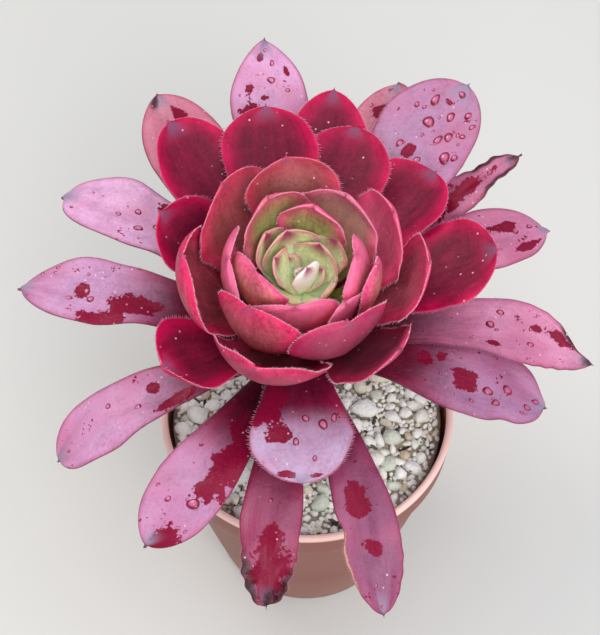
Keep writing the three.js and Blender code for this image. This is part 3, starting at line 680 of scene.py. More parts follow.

# Every large leaf, from the inside of the rosette outwards. Each row gives:
#   node, heading from the stem (degrees, 0 = right, 90 = back), length, width,
#   slope at the root, half way and at the tip, cup, lean, sweep, height of the root,
#   place of the full width, and what else marks that leaf: the tone of its bloom, which is partly
#   a painted sheen, how much of it there is (cover) and where along the leaf it sets in (fade), wet
#   and dry patches as (along, across, reach along, reach across), beads as (along, across, radius),
#   and how many more beads are scattered on it. A withered end has a twist in degrees, a wave in
#   millimetres and a fray.
LEAVES = [
    ("core_leaf_1", 74, 30, 23, 64, 63, 100, 32, -5, 3, 154, 0.69, {}),
    ("core_leaf_2", 215, 36, 27, 46, 35, 138, 55, 16, -4, 151, 0.75, {}),
    ("core_leaf_3", 345, 38, 25, 22, 67, 133, 42, -6, 16, 151, 0.8, dict(tone=BLUSH, cover=0.85)),
    ("core_leaf_4", 121, 34, 27, 58, 56, 88, 26, 2, 14, 152, 0.66, dict(tone=OLIVE, cover=0.25)),
    ("core_leaf_5", 264, 35, 29, 22, 67, 101, 43, 9, 3, 150, 0.77, dict(tone=BLUSH, cover=0.7)),
    ("core_leaf_6", 192, 39, 35, 24, 48, 121, 34, -1, -8, 149, 0.8, dict(tone=BLUSH, cover=0.7)),
    ("core_leaf_7", 301, 37, 20, 35, 51, 99, 6, 9, 13, 148, 0.66, dict(tone=BLUSH, cover=1.0)),
    ("core_leaf_8", 338, 43, 19, 31, 54, 112, 36, 14, -8, 147, 0.66, {}),

    ("inner_leaf_1", 49, 38, 31, 38, 56, 107, 27, -1, 3, 152, 0.62, dict(
        skin="core", tone=HAZE, cover=0.5,
    )),
    ("inner_leaf_2", 96, 41, 31, 44, 44, 58, 36, 0, 10, 151, 0.74, dict(tone=OLIVE, cover=0.35)),
    ("inner_leaf_3", 131, 39, 39, 17, 34, 67, 4, 7, 16, 154, 0.58, dict(tone=OLIVE, cover=0.2)),
    ("inner_leaf_4", 240, 52, 30, 15, 48, 115, 44, -7, 4, 148, 0.8, {}),
    ("inner_leaf_5", 295, 51, 35, 26, 41, 106, 40, 10, -7, 144, 0.77, dict(tone=WINE, cover=0.6)),
    ("inner_leaf_6", 24, 43, 33, 32, 38, 93, 16, -6, -5, 148, 0.71, dict(tone=BLUSH, cover=0.5)),
    ("inner_leaf_7", 191, 54, 41, 15, 24, 120, 41, -3, -5, 147, 0.7, {}),
    ("inner_leaf_8", 350, 50, 29, 21, 47, 77, 18, 7, -4, 146, 0.79, dict(tone=HAZE, cover=0.15)),
    ("inner_leaf_9", 252, 56, 39, 24, 23, 89, 49, -2, 1, 142, 0.6, dict(tone=WINE, cover=0.25)),

    ("middle_leaf_1", 72, 58, 30, 22, 13, 20, 28, 0, 4, 147, 0.72, dict(point=0.58)),
    ("middle_leaf_2", 47, 58, 31, 21, 12, 13, 32, -4, -4, 144, 0.74, {}),
    ("middle_leaf_3", 156, 50, 29, 26, 23, 48, 24, 0, -2, 144, 0.73, {}),
    ("middle_leaf_4", 104, 64, 32, 25, 21, 32, 24, 0, -12, 143, 0.75, dict(point=0.6)),
    ("middle_leaf_5", 308, 51, 28, 22, 39, 66, 9, 4, 16, 140, 0.65, dict(tone=HAZE, cover=0.15)),
    ("middle_leaf_6", 215, 48, 31, 24, 10, 31, 35, 2, 0, 140, 0.8, {}),
    ("middle_leaf_7", 11, 60, 32, 22, 17, 30, 16, 0, -6, 141, 0.74, {}),
    ("middle_leaf_8", 81, 72, 27, 24, 19, 27, 28, 2, 2, 140, 0.7, dict(point=0.66)),
    ("middle_leaf_9", 128, 71, 30, 27, 25, 36, 28, 10, 2, 139, 0.73, {}),
    ("middle_leaf_10", 269, 52, 31, 14, 0, -20, 10, -2, 4, 139, 0.7, dict(
        skin="outer", tone=SLATE, cover=1.0, fade=(0.5, 0.72), dimple=0.3,
        wet=[(0.52, -0.75, 0.14, 0.4), (0.7, -0.4, 0.05, 0.3), (0.94, 0.5, 0.02, 0.3),
             (0.93, -0.6, 0.025, 0.35)],
        beads=[(0.6, 0.1, 1.2), (0.64, 0.45, 1.5), (0.74, -0.1, 1.1), (0.6, 0.7, 1.1), (0.84, 0.3, 0.8)],
    )),

    ("outer_leaf_1", 59, 93, 34, 20, 20, 20, 6, 2, -16, 134, 0.74, dict(
        point=0.54, tone=LILAC, cover=1.0, scatter=26,
        wet=[(0.67, 0.05, 0.03, 0.12), (0.9, 0.1, 0.012, 0.12)],
        beads=[(0.8, 0.1, 2.0), (0.86, -0.2, 1.4), (0.88, 0.35, 1.5), (0.76, -0.3, 1.4), (0.72, -0.62, 1.7),
               (0.9, -0.6, 1.3), (0.95, -0.1, 1.3), (0.68, 0.3, 1.3), (0.82, -0.7, 1.1), (0.66, -0.2, 1.1),
               (0.79, -0.45, 1.5), (0.74, -0.78, 1.2), (0.87, -0.8, 1.0), (0.83, 0.55, 1.0)],
    )),
    ("outer_leaf_2", 99, 96, 26, 20, 19, 26, 4, 2, -5, 132, 0.74, dict(
        point=0.8, tone=LAVENDER, cover=1.0, scatter=8,
        wet=[(0.93, 0.3, 0.018, 0.18), (0.82, 0.5, 0.02, 0.12), (0.87, -0.6, 0.02, 0.1),
             (0.78, 0.1, 0.012, 0.15), (0.74, 0.5, 0.02, 0.3), (0.7, -0.3, 0.02, 0.4)],
        beads=[(0.84, -0.1, 1.3), (0.8, -0.5, 0.9), (0.9, -0.2, 0.9), (0.95, 0.0, 0.8)],
    )),
    ("outer_leaf_3", 171, 86, 24, 16, 11, -8, 10, -6, 6, 131, 0.7, dict(
        point=0.7, tone=GREY_LAVENDER, cover=1.0, fade=(0.36, 0.68), scatter=12,
        wet=[(0.56, 0.3, 0.1, 0.4), (0.66, 0.9, 0.1, 0.3), (0.76, 0.0, 0.03, 0.25)],
        beads=[(0.74, 0.0, 1.1), (0.72, 0.25, 1.1), (0.8, 0.3, 0.9)],
    )),
    ("outer_leaf_4", 343, 77, 27, 9, -5, -34, 8, 6, 10, 131, 0.68, dict(
        root=0.5, bite=CHEWED_EDGE, tone=LILAC, cover=1.0, fade=(0.36, 0.7), scatter=8,
        wet=[(0.62, -0.15, 0.05, 0.28), (0.5, 0.3, 0.03, 0.15), (0.44, 0.1, 0.03, 0.25)],
        beads=[(0.72, -0.2, 1.6), (0.8, 0.0, 1.6), (0.9, -0.35, 1.2), (0.94, 0.05, 1.1),
               (0.76, -0.5, 1.2), (0.66, -0.6, 0.9)],
    )),
    ("outer_leaf_5", 31, 90, 23, 14, 6, -26, 16, 8, -10, 130, 0.72, dict(
        point=0.7, tone=ROSE, cover=0.95, scatter=6, wet=[(0.8, 0.3, 0.08, 0.2), (0.86, -0.6, 0.08, 0.15)],
        beads=[(0.72, 0.0, 1.3), (0.84, 0.1, 1.1), (0.9, 0.2, 0.9)],
    )),
    ("outer_leaf_6", 141, 89, 25, 18, 14, -10, 20, 2, 25, 129, 0.76, dict(
        point=0.46, tone=PALE_LAVENDER, cover=1.0, scatter=7, wet=[(0.6, -0.7, 0.04, 0.2)],
        beads=[(0.7, -0.2, 1.2), (0.66, 0.3, 1.2), (0.76, 0.1, 0.9), (0.6, 0.0, 1.3)],
    )),
    ("outer_leaf_7", 67, 92, 26, 19, 16, 7, 4, -8, 9, 129, 0.72, dict(
        tone=SALMON, cover=0.9, scatter=5, wet=[(0.86, 0.2, 0.04, 0.4)],
    )),
    ("outer_leaf_8", 240, 80, 24, 11, 2, -28, 10, -3, -14, 128, 0.72, dict(
        point=0.66, tone=HEATHER, cover=1.0, fade=(0.38, 0.66), scatter=6,
        wet=[(0.52, 0.62, 0.2, 0.62), (0.68, 0.45, 0.06, 0.3), (0.96, 0.5, 0.08, 0.7),
             (0.42, 0.3, 0.1, 0.5)],
        beads=[(0.76, 0.35, 2.0), (0.8, -0.3, 1.0)],
    )),
    ("outer_leaf_9", 3, 90, 21, 14, 9, -26, 20, 0, -27, 128, 0.66, dict(
        bite=CURLED_CORNER, twist=35, fray=0.1, tone=ROSE, cover=0.95, scatter=7,
        wet=[(0.86, 0.4, 0.06, 0.3), (0.62, -0.6, 0.03, 0.12), (0.76, 0.3, 0.02, 0.15)],
        beads=[(0.6, 0.1, 1.4), (0.63, 0.55, 1.0), (0.75, -0.3, 1.1)],
        dry=[(1.0, 0.0, 0.09, 1.2), (0.88, 0.9, 0.07, 0.4)],
    )),
    ("outer_leaf_10", 122, 94, 27, 20, 18, 9, 6, -6, -5, 127, 0.74, dict(
        point=0.68, tone=SALMON, cover=0.9, scatter=4, wet=[(0.88, -0.3, 0.04, 0.2)],
        dry=[(0.97, 0.5, 0.05, 0.5)],
    )),
    ("outer_leaf_11", 42, 88, 14, 21, 22, 18, 30, 0, -18, 127, 0.7, dict(
        wave=0.9, fray=0.25, tone=DUSKY_ROSE, cover=0.8, wet=[(0.7, 0.0, 0.16, 0.5)],
        dry=[(1.0, 0.0, 0.09, 1.5), (0.9, 1.0, 0.16, 0.5), (0.88, -1.0, 0.14, 0.45)],
    )),
    ("outer_leaf_12", 201, 84, 22, 7, -2, -46, 12, 0, 6, 126, 0.72, dict(
        point=0.48, tone=LAVENDER, cover=0.95, fade=(0.3, 0.66), scatter=4,
        wet=[(0.52, -0.2, 0.03, 0.2), (0.46, 0.7, 0.09, 0.25)],
        beads=[(0.7, -0.3, 0.9), (0.6, 0.2, 1.1)],
    )),
    ("outer_leaf_13", 288, 90, 19, 12, 2, -30, 12, 4, -10, 126, 0.72, dict(
        point=0.6, bite=NOTCH, fray=0.08, straw=1.0, tone=PLUM, cover=0.95, fade=(0.3, 0.6), scatter=3,
        wet=[(0.6, -0.05, 0.06, 0.5), (0.78, 0.1, 0.03, 0.3)],
        dry=[(0.8, -1.05, 0.2, 0.22)],
    )),
    ("outer_leaf_14", 260, 82, 19, 8, -7, -42, 10, 0, 9, 125, 0.68, dict(
        root=0.48, point=0.34, wave=1.3, fray=0.2, tone=MULBERRY, cover=0.8, fade=(0.3, 0.75), scatter=2,
        wet=[(0.88, 0.1, 0.14, 0.8), (0.74, 0.1, 0.06, 0.4)],
        dry=[(1.0, 0.3, 0.12, 1.2), (0.9, -0.95, 0.16, 0.6), (0.94, 0.95, 0.14, 0.5)],
    )),
]

# The growing point's small leaves, from the inside outwards. Each row gives heading, length,
# width, slope at the root, half way and at the tip, cup, lean, sweep, height of the root, place
# of the full width, and how far inside the stem's radius the leaf starts.
HEART_LEAVES = [
    (75, 8, 5, 74, 82, 96, 34, 0, 0, 160, 0.66, 6.0),
    (212, 9, 6, 70, 84, 100, 34, 4, 3, 159, 0.66, 5.8),
    (350, 9, 6, 66, 82, 104, 34, -4, -3, 159, 0.66, 5.6),
    (312, 14, 12, 56, 88, 118, 26, 3, 2, 158, 0.7, 5.2),
    (235, 11, 13, 22, 38, 84, 44, 0, 0, 157, 0.66, 3.0),
    (305, 11, 13, 24, 40, 86, 44, 0, 0, 157, 0.66, 3.0),
    (268, 12, 14, 18, 34, 80, 44, 0, 0, 156, 0.66, 2.6),
    (338, 14, 14, 26, 44, 90, 40, 0, 0, 157, 0.66, 3.0),
    (14, 11, 9, 51, 58, 62, 40, 12, 4, 157, 0.74, 4.8),
    (127, 12, 9, 30, 62, 80, 30, -3, -4, 157, 0.76, 4.4),
    (178, 17, 13, 52, 76, 74, 26, -13, -6, 158, 0.74, 4.0),
    (48, 18, 19, 53, 67, 93, 37, 5, 11, 156, 0.6, 3.4),
    (42, 20, 17, 54, 54, 65, 28, 14, -10, 156, 0.77, 2.8),
    (118, 24, 22, 47, 87, 91, 39, -9, 9, 154, 0.63, 2.4),
    (143, 26, 16, 53, 59, 91, 28, 0, 1, 152, 0.76, 2.0),
]

# How thick the inmost and outmost of them are, as shares of a grown leaf's thickness. Those whose
# slope at the root is under SCALE_SLOPE are lime, and of the others the first BUD_LEAVES are cream.
HEART_THIN = (0.5, 0.7)
SCALE_SLOPE = 28
BUD_LEAVES = 8


def read_leaf(row):
    """One leaf's row as a dictionary, with plain values for what the row leaves out."""
    node, heading, length, width, root, middle, tip, cup, lean, sweep, height, fullest, marks = row
    age = node.split("_")[0]
    plain = dict(twist=0.0, wave=0.0, bite=None, outset=0.0, thin=1.0, skin=age, tone=WINE,
                 cover=0.0, fade=(0.22, 0.62), wet=[], dry=[], beads=[], scatter=0,
                 ripple=0.35, dimple=0.12, crease=0.0, fray=0.0, straw=0.0)
    own = dict(node=node, age=age, heading=heading, length=length, width=width,
               slopes=(root, middle, tip), cup=cup, lean=lean, sweep=sweep, height=height, fullest=fullest)
    return {**plain, **AGES[age], **own, **marks}


def half_width(u, blade):
    """Half of the blade's width at u, the share of its length from the root.

    It swells in an S from the root to the fullest place, as a mix of sin squared and a power, and
    falls from there as (1 - s ** 2.2) ** point, with a little spine past its end.
    """
    spine = MUCRO_LENGTH / blade["length"]
    w = np.clip(u, 0.0, 1.0) / (1.0 - spine)
    t = np.clip(w / blade["fullest"], 0.0, 1.0)
    swell = 0.45 * np.sin(np.pi / 2.0 * t) ** 2 + 0.55 * t ** 1.6
    rise = blade["root"] + (1.0 - blade["root"]) * swell
    s = np.clip((w - blade["fullest"]) / (1.0 - blade["fullest"]), 0.0, 1.0)
    fall = (1.0 - s ** 2.2) ** blade["point"]
    share = np.where(w < blade["fullest"], rise, fall)
    left = np.clip((1.0 - u) / (2.0 * spine), 0.0, 1.0)
    return np.maximum(share * blade["width"] / 2.0, MUCRO_RADIUS * blade["thin"] * left ** 0.8)


def centreline(blade, u):
    """Places along the middle of a blade at the shares u, and its axes: ahead, left and face.

    The slope follows the quadratic curve through the three slopes, and the heading turns by the
    sweep times u squared. The places add up the unit steps in those directions.
    """
    t = np.linspace(0.0, 1.0, CENTRELINE_STEPS + 1)
    root, middle, tip = blade["slopes"]
    slope = np.radians((1 - t) ** 2 * root + 2 * t * (1 - t) * middle + t * t * tip)
    turn = np.radians(blade["heading"] + blade["sweep"] * t * t)
    along = np.stack([np.cos(slope) * np.cos(turn), np.cos(slope) * np.sin(turn), np.sin(slope)], -1)
    strides = unit(along[1:] + along[:-1]) * blade["length"] / CENTRELINE_STEPS
    start = STEM_RADIUS + blade["outset"]
    heading = math.radians(blade["heading"])
    first = np.array([STEM_AXIS_X + start * math.cos(heading), start * math.sin(heading), blade["height"]])
    places = first + np.concatenate([np.zeros((1, 3)), np.cumsum(strides, 0)])
    inside = np.clip(u, 0.0, 1.0)
    at = np.stack([np.interp(inside, t, places[:, n]) for n in range(3)], -1)
    ahead = unit(np.stack([np.interp(inside, t, along[:, n]) for n in range(3)], -1))
    at = at + ahead * ((u - inside) * blade["length"])[:, None]
    heading_here = np.interp(inside, t, turn)
    left = np.stack([-np.sin(heading_here), np.cos(heading_here), np.zeros_like(u)], -1)
    lean = np.radians(blade["lean"] * inside + blade["twist"] * smooth(inside, 0.55, 1.0))
    left = turned(left, ahead, lean)
    return at, ahead, left, np.cross(ahead, left)


def patch_field(u, v, patches):
    """1 at the middle of the nearest oval patch, 0 at its edge and -1 far outside."""
    field = np.full(np.broadcast(u, v).shape, -1.0)
    for centre_u, centre_v, reach_u, reach_v in patches:
        away = np.sqrt(((u - centre_u) / reach_u) ** 2 + ((v - centre_v) / reach_v) ** 2)
        field = np.maximum(field, np.clip(1.0 - away, -1.0, 1.0))
    return field


def on_blade(blade, u, v, lift):
    """Points of a blade at u along it and v across it, lifted from its middle surface, with the
    directions up and out there and half of its width.

    Across the blade the surface is an arc: at v of the half width w it lies w sin(a v) / a to the
    left and w (1 - cos(a v)) / a up, where a is the cup. The outline wanders a little, withered
    ends are tattered, and a bite is gone from some margins. Sums of sines in u and v then lift the
    surface: ripples at the margins, a sway from side to side, dimples, creases along the face,
    and waves in withered ends.
    """
    at, ahead, left, face = centreline(blade, u)
    t = u[:, None]
    half = half_width(u, blade)[:, None] * np.ones_like(v)
    phase = blade["phase"] * FULL_TURN
    side = np.sign(v)
    wander = np.sin(t * 15.0 + phase * 3.0 + side) + 0.6 * np.sin(t * 29.0 + phase * 5.0 - side * 2.0)
    half = half * (1.0 + OUTLINE_WANDER * wander * smooth(t, 0.2, 0.5))
    tatter = 0.5 + 0.5 * np.sin(t * 70.0 + phase + side * 2.0) * np.sin(t * 43.0 + side)
    half = half * (1.0 - blade["fray"] * tatter * smooth(t, 0.66, 0.9) * smooth(np.abs(v), 0.0, 0.5))
    if blade["bite"]:
        bitten, place, reach, depth = blade["bite"]
        loss = depth * np.exp(-(((t - place) / reach) ** 2))
        half = half * np.where(side == bitten, 1.0 - loss * smooth(np.abs(v), 0.0, 0.4), 1.0)

    opening = np.clip(0.35 + 0.65 * t / 0.55, 0.0, 1.0)
    cup = np.maximum(np.radians(blade["cup"]) * opening, 0.001)
    angle = cup * v
    over = half * np.sin(angle) / cup
    up = half * (1.0 - np.cos(angle)) / cup
    grown = smooth(t, 0.15, 0.5)
    ripple = np.sin(t * 17.0 + phase + v * 1.7) + 0.6 * np.sin(t * 31.0 + 2.0 * phase - v * 2.3)
    up = up + blade["ripple"] * grown * np.abs(v) ** 2.5 * ripple
    sway = np.sin(t * 6.0 + 3.0 * phase) * v
    up = up + blade["ripple"] * grown * sway
    dimples = np.sin(t * 12.0 + phase) * np.cos(v * 2.4 + phase * 2.0)
    dimples = dimples + 0.6 * np.sin(t * 21.0 + v * 3.1 + phase * 4.0)
    up = up + blade["dimple"] * grown * dimples
    creases = np.sin(v * 8.0 + 1.6 * np.sin(t * 9.0 + phase) + phase * 2.0)
    up = up + blade["crease"] * grown * creases * (1.0 - v * v)
    wave = np.sin(t * 34.0 + v * 2.0) * smooth(t, 0.5, 0.9)
    up = up + blade["wave"] * np.abs(v) * wave

    left = left[:, None, :]
    face = face[:, None, :]
    cosine = np.cos(angle)[..., None]
    sine = np.sin(angle)[..., None]
    normal = -sine * left + cosine * face
    outward = cosine * left + sine * face
    middle = at[:, None, :] + over[..., None] * left + up[..., None] * face
    return middle + normal * lift[..., None], normal, outward, half


def blade_shape(blade):
    """A closed leaf: rings round the blade, each an ellipse bent along the blade's cupped section,
    with a shallow channel above the midrib and a keel below it, closed at the root and the spine."""
    rows, ring = blade["grid"]
    spread = np.linspace(0.0, 1.0, rows)
    overrun = ROOT_OVERRUN / blade["length"]
    u = -overrun + (1.0 + overrun) * (1.0 - (1.0 - spread) ** ROW_CROWDING)
    spin = circle(ring)
    v = np.broadcast_to(np.cos(spin), (rows, ring))
    inside = np.clip(u, 0.0, 1.0)
    depth = mixed(ROOT_THICKNESS, TIP_THICKNESS, inside) * blade["thin"]
    depth = np.minimum(depth, 2.0 * half_width(u, blade))
    section = np.sign(np.sin(spin)) * np.abs(np.sin(spin)) ** SECTION_FULLNESS
    lift = depth[:, None] / 2.0 * section
    rib = np.exp(-((v / RIB_WIDTH) ** 2)) * smooth(1.0 - inside, 0.04, 0.4)[:, None]
    rib_depth = np.where(np.sin(spin) > 0.0, CHANNEL_DEPTH, KEEL_DEPTH)
    lift = lift - rib_depth * rib * blade["thin"] * (depth / ROOT_THICKNESS)[:, None]
    points, _, _, half = on_blade(blade, u, v, lift)
    first = points[0].mean(0)
    last = points[-1].mean(0)
    quads, triangles = tube_faces(rows, ring)

    inset = np.minimum(half * (1.0 - np.abs(v)), ((1.0 - u) * blade["length"] * 0.8)[:, None])
    wide_u = np.broadcast_to(u[:, None], v.shape)
    values = {
        "along": wide_u,
        "across": v,
        "inset": inset,
        "upper": np.broadcast_to(smooth(np.sin(spin), -0.12, 0.12), v.shape),
        "wet": patch_field(wide_u, v, blade["wet"]),
        "dry": patch_field(wide_u, v, blade["dry"]),
        "cover": blade["cover"] * smooth(wide_u, *blade["fade"]),
        "straw": np.full(v.shape, blade["straw"]),
        "lot": np.full(v.shape, blade["phase"] * 9.0),
    }
    values = {
        name: np.concatenate([field.ravel(), [field[0].mean()], [field[-1].mean()]])
        for name, field in values.items()
    }
    values["tone"] = np.tile(paint(blade["tone"])[:3], (len(values["along"]), 1))
    everything = np.concatenate([points.reshape(-1, 3), [first], [last]])
    return Shape(everything, quads, triangles, values).facing_out()


def fringe_shape(blade, random):
    """Hairs along both margins: three-sided spikes at slightly uneven steps along the margin, which
    lean out and a little toward the tip."""
    length, spacing, radius = blade["fringe"]
    u = np.linspace(*FRINGE_SPAN, FRINGE_STEPS)
    spikes = []
    for side in (-1.0, 1.0):
        v = np.full((len(u), 1), side)
        edge, normal, outward, _ = on_blade(blade, u, v, np.zeros((len(u), 1)))
        fields = (edge[:, 0], normal[:, 0], outward[:, 0] * side)
        run = np.concatenate([[0.0], np.cumsum(np.linalg.norm(np.diff(fields[0], axis=0), axis=1))])
        count = int(run[-1] / spacing)
        marks = (np.arange(count) + random.uniform(0.2, 0.8, count)) * spacing
        foot, up, out = (
            np.stack([np.interp(marks, run, field[:, n]) for n in range(3)], -1) for field in fields
        )
        ahead = unit(np.cross(up, out)) * side
        toward_tip = random.uniform(-0.1, 0.6, (count, 1))
        upward = random.uniform(-0.35, 0.35, (count, 1))
        out = unit(out + ahead * toward_tip + up * upward)
        tips = foot + out * (random.uniform(0.55, 1.15, (count, 1)) * length)
        corners = []
        for turn in HAIR_CORNERS:
            round_foot = math.cos(turn) * ahead + math.sin(turn) * up
            corners.append(foot - out * HAIR_ROOT + round_foot * radius)
        spikes.append(np.stack([*corners, tips], 1))
    points = np.concatenate(spikes)
    starts = np.arange(len(points))[:, None, None] * 4
    faces = np.array([[0, 1, 3], [1, 2, 3], [2, 0, 3], [0, 2, 1]])[None] + starts
    return Shape(points.reshape(-1, 3), np.zeros((0, 4), int), faces.reshape(-1, 3))


def bead_shapes(blade, random):
    """Beads of water on a leaf: low domes whose height falls off as (1 - r ** 2) ** 0.6, with a
    slightly uneven outline, drawn out along the leaf."""
    marks = list(blade["beads"])
    for _ in range(blade["scatter"]):
        marks.append((random.uniform(0.5, 0.97), random.uniform(-0.85, 0.85), random.uniform(0.35, 0.75)))
    shapes = []
    spin = circle(BEAD_SIDES)
    rings = np.array(BEAD_RINGS)
    for u0, v0, size in marks:
        depth = mixed(ROOT_THICKNESS, TIP_THICKNESS, u0) * (1.0 - v0 * v0) ** 0.4
        lift = np.full((1, 1), depth / 2.0 - BEAD_SINK)
        at, normal, outward, _ = on_blade(blade, np.array([u0]), np.array([[v0]]), lift)
        at, normal, outward = at[0, 0], normal[0, 0], outward[0, 0]
        lobes = 1.0 + 0.12 * np.cos(2 * spin + random.uniform(0, 6))
        lobes = lobes + 0.07 * np.cos(3 * spin + random.uniform(0, 6))
        reach = size * rings[:, None] * lobes
        ahead = np.cross(outward, normal) * random.uniform(0.9, 1.5)
        rise = size * BEAD_RISE * (1.0 - rings[:, None] ** 2) ** 0.6 * np.ones_like(reach)
        points = at + reach[..., None] * (np.cos(spin)[:, None] * outward + np.sin(spin)[:, None] * ahead)
        points = points + rise[..., None] * normal
        ends = [[at - normal * 0.1], [at + normal * size * BEAD_RISE]]
        rim = np.concatenate([np.repeat(rings, len(spin)), [1.0], [0.0]])
        values = {"rim": rim, "tone": np.tile(paint(blade["tone"])[:3], (len(rim), 1))}
        quads, triangles = tube_faces(len(rings), len(spin))
        shape = Shape(np.concatenate([points.reshape(-1, 3), *ends]), quads, triangles, values)
        shapes.append(shape.facing_out())
    return shapes


def heart_blades():
    """The growing point's small cupped leaves, which get thicker, greener and barer outwards."""
    blades = []
    for order, row in enumerate(HEART_LEAVES):
        *numbers, inside = row
        leaf = read_leaf(("heart", *numbers, {}))
        grown = order / (len(HEART_LEAVES) - 1)
        slope = leaf["slopes"][0]
        tone = LIME if slope < SCALE_SLOPE else CREAM if order < BUD_LEAVES else SPRING
        cover = 1.0 - 0.75 * float(smooth(grown, 0.2, 0.8))
        own = dict(tone=tone, cover=cover, fade=(-2.0, -1.0), thin=mixed(*HEART_THIN, grown))
        blades.append({**leaf, **own, "outset": -inside, "ripple": 0.1, "dimple": 0.05})
    return blades


def grow_plant(skins, fringes, bead_material):
    """Every leaf as its own piece, the fringes of each age as one, and all the water beads as one."""
    random = np.random.default_rng(PLANT_SEED)
    hairs = {age: [] for age in AGES}
    beads = []
    for row in LEAVES:
        blade = read_leaf(row)
        blade["phase"] = random.random()
        shape = blade_shape(blade)
        node = blade["node"]
        build_piece(node + "_blade", shape, skins[blade["skin"]], (node,))
        hairs[blade["age"]].append(fringe_shape(blade, random))
        beads.extend(bead_shapes(blade, random))
    small = []
    for blade in heart_blades():
        blade["phase"] = random.random()
        small.append(blade_shape(blade))
        hairs["heart"].append(fringe_shape(blade, random))
    build_piece("heart_head", joined(small), skins["heart"], ("heart",))
    for age, shapes in hairs.items():
        build_piece(age + "_fringe", joined(shapes), fringes[age])
    build_piece("water_beads", joined(beads), bead_material)


# ------------------------------------------------------------------ pot, stem, soil and grit

def turned_shape(profile, sides, x=0.0):
    """A body of revolution about the Z axis through x, from [radius, height] points that start and
    end on the axis."""
    profile = np.asarray(profile, float)
    spin = circle(sides)
    radius, height = profile[1:-1, 0], profile[1:-1, 1]
    points = np.stack([
        x + radius[:, None] * np.cos(spin),
        radius[:, None] * np.sin(spin),
        height[:, None] * np.ones(sides),
    ], -1)
    quads, triangles = tube_faces(len(radius), sides)
    ends = [[x, 0.0, profile[0, 1]], [x, 0.0, profile[-1, 1]]]
    return Shape(np.concatenate([points.reshape(-1, 3), ends]), quads, triangles).facing_out()


def arc(centre, radius, start, end, steps):
    """Points of a round corner in a profile, from one angle to another in degrees."""
    angle = np.radians(np.linspace(start, end, steps))
    return [[centre[0] + radius * math.cos(a), centre[1] + radius * math.sin(a)] for a in angle]


def pot_profile():
    """The pot's outline from the middle of its base, up its outside, over its lip and down inside."""
    collar_foot = POT_HEIGHT - COLLAR_HEIGHT
    foot_radius = POT_RIM_RADIUS - COLLAR_FLARE
    body_radius = foot_radius - COLLAR_STEP
    slope = (body_radius - POT_BASE_RADIUS) / collar_foot
    lip = RIM_WIDTH / 2.0
    low_inner, high_inner = (
        POT_BASE_RADIUS + slope * height - POT_WALL for height in (POT_FLOOR, collar_foot)
    )
    profile = [[0.0, 0.0], [DRAIN_CIRCLE_RADIUS * 0.5, 0.0], [POT_BASE_RADIUS - 1.4, 0.0]]
    profile += arc((POT_BASE_RADIUS - FOOT_ROUND, FOOT_ROUND), FOOT_ROUND, -80, 0, 5)
    for height in np.linspace(6.0, collar_foot - 0.8, 12):
        profile.append([POT_BASE_RADIUS + slope * height, height])
    profile += [[body_radius + 0.15, collar_foot - 0.25], [body_radius + 0.5, collar_foot]]
    profile += arc((foot_radius - COLLAR_ROUND, collar_foot + 0.75), COLLAR_ROUND, -70, 0, 4)
    profile += arc((POT_RIM_RADIUS - lip, POT_HEIGHT - lip), lip, 0, 180, 13)
    profile += [[POT_RIM_RADIUS - RIM_WIDTH, collar_foot + 2.0], [high_inner, collar_foot]]
    profile += [[low_inner + 0.8, POT_FLOOR + 2.0], [low_inner - 1.0, POT_FLOOR], [0.0, POT_FLOOR]]
    return profile


def make_pot(material):
    """The pot: a turned profile with a collar band and a rolled lip, drilled with drain holes."""
    shape = turned_shape(pot_profile(), POT_SIDES)
    pot = build_piece("moulded_pot", shape, material, ("pot",))
    drills = []
    for hole in range(DRAIN_HOLES):
        angle = hole / DRAIN_HOLES * 2.0 * math.pi
        sides = [[DRAIN_HOLE_RADIUS, height] for height in DRILL_SPAN]
        drill = turned_shape([[0, DRILL_SPAN[0]], *sides, [0, DRILL_SPAN[1]]], DRILL_SIDES)
        drill.points[:, 0] += DRAIN_CIRCLE_RADIUS * math.cos(angle)
        drill.points[:, 1] += DRAIN_CIRCLE_RADIUS * math.sin(angle)
        drills.append(drill)
    cutter = put_in_scene("drain_drills", joined(drills).mesh("drain_drills"))
    cut = pot.modifiers.new("drain_holes", "BOOLEAN")
    cut.object = cutter
    cut.solver = "EXACT"
    drilled = bpy.data.meshes.new_from_object(pot.evaluated_get(bpy.context.evaluated_depsgraph_get()))
    pot.modifiers.remove(cut)
    pot.data = drilled
    bpy.data.objects.remove(cutter)


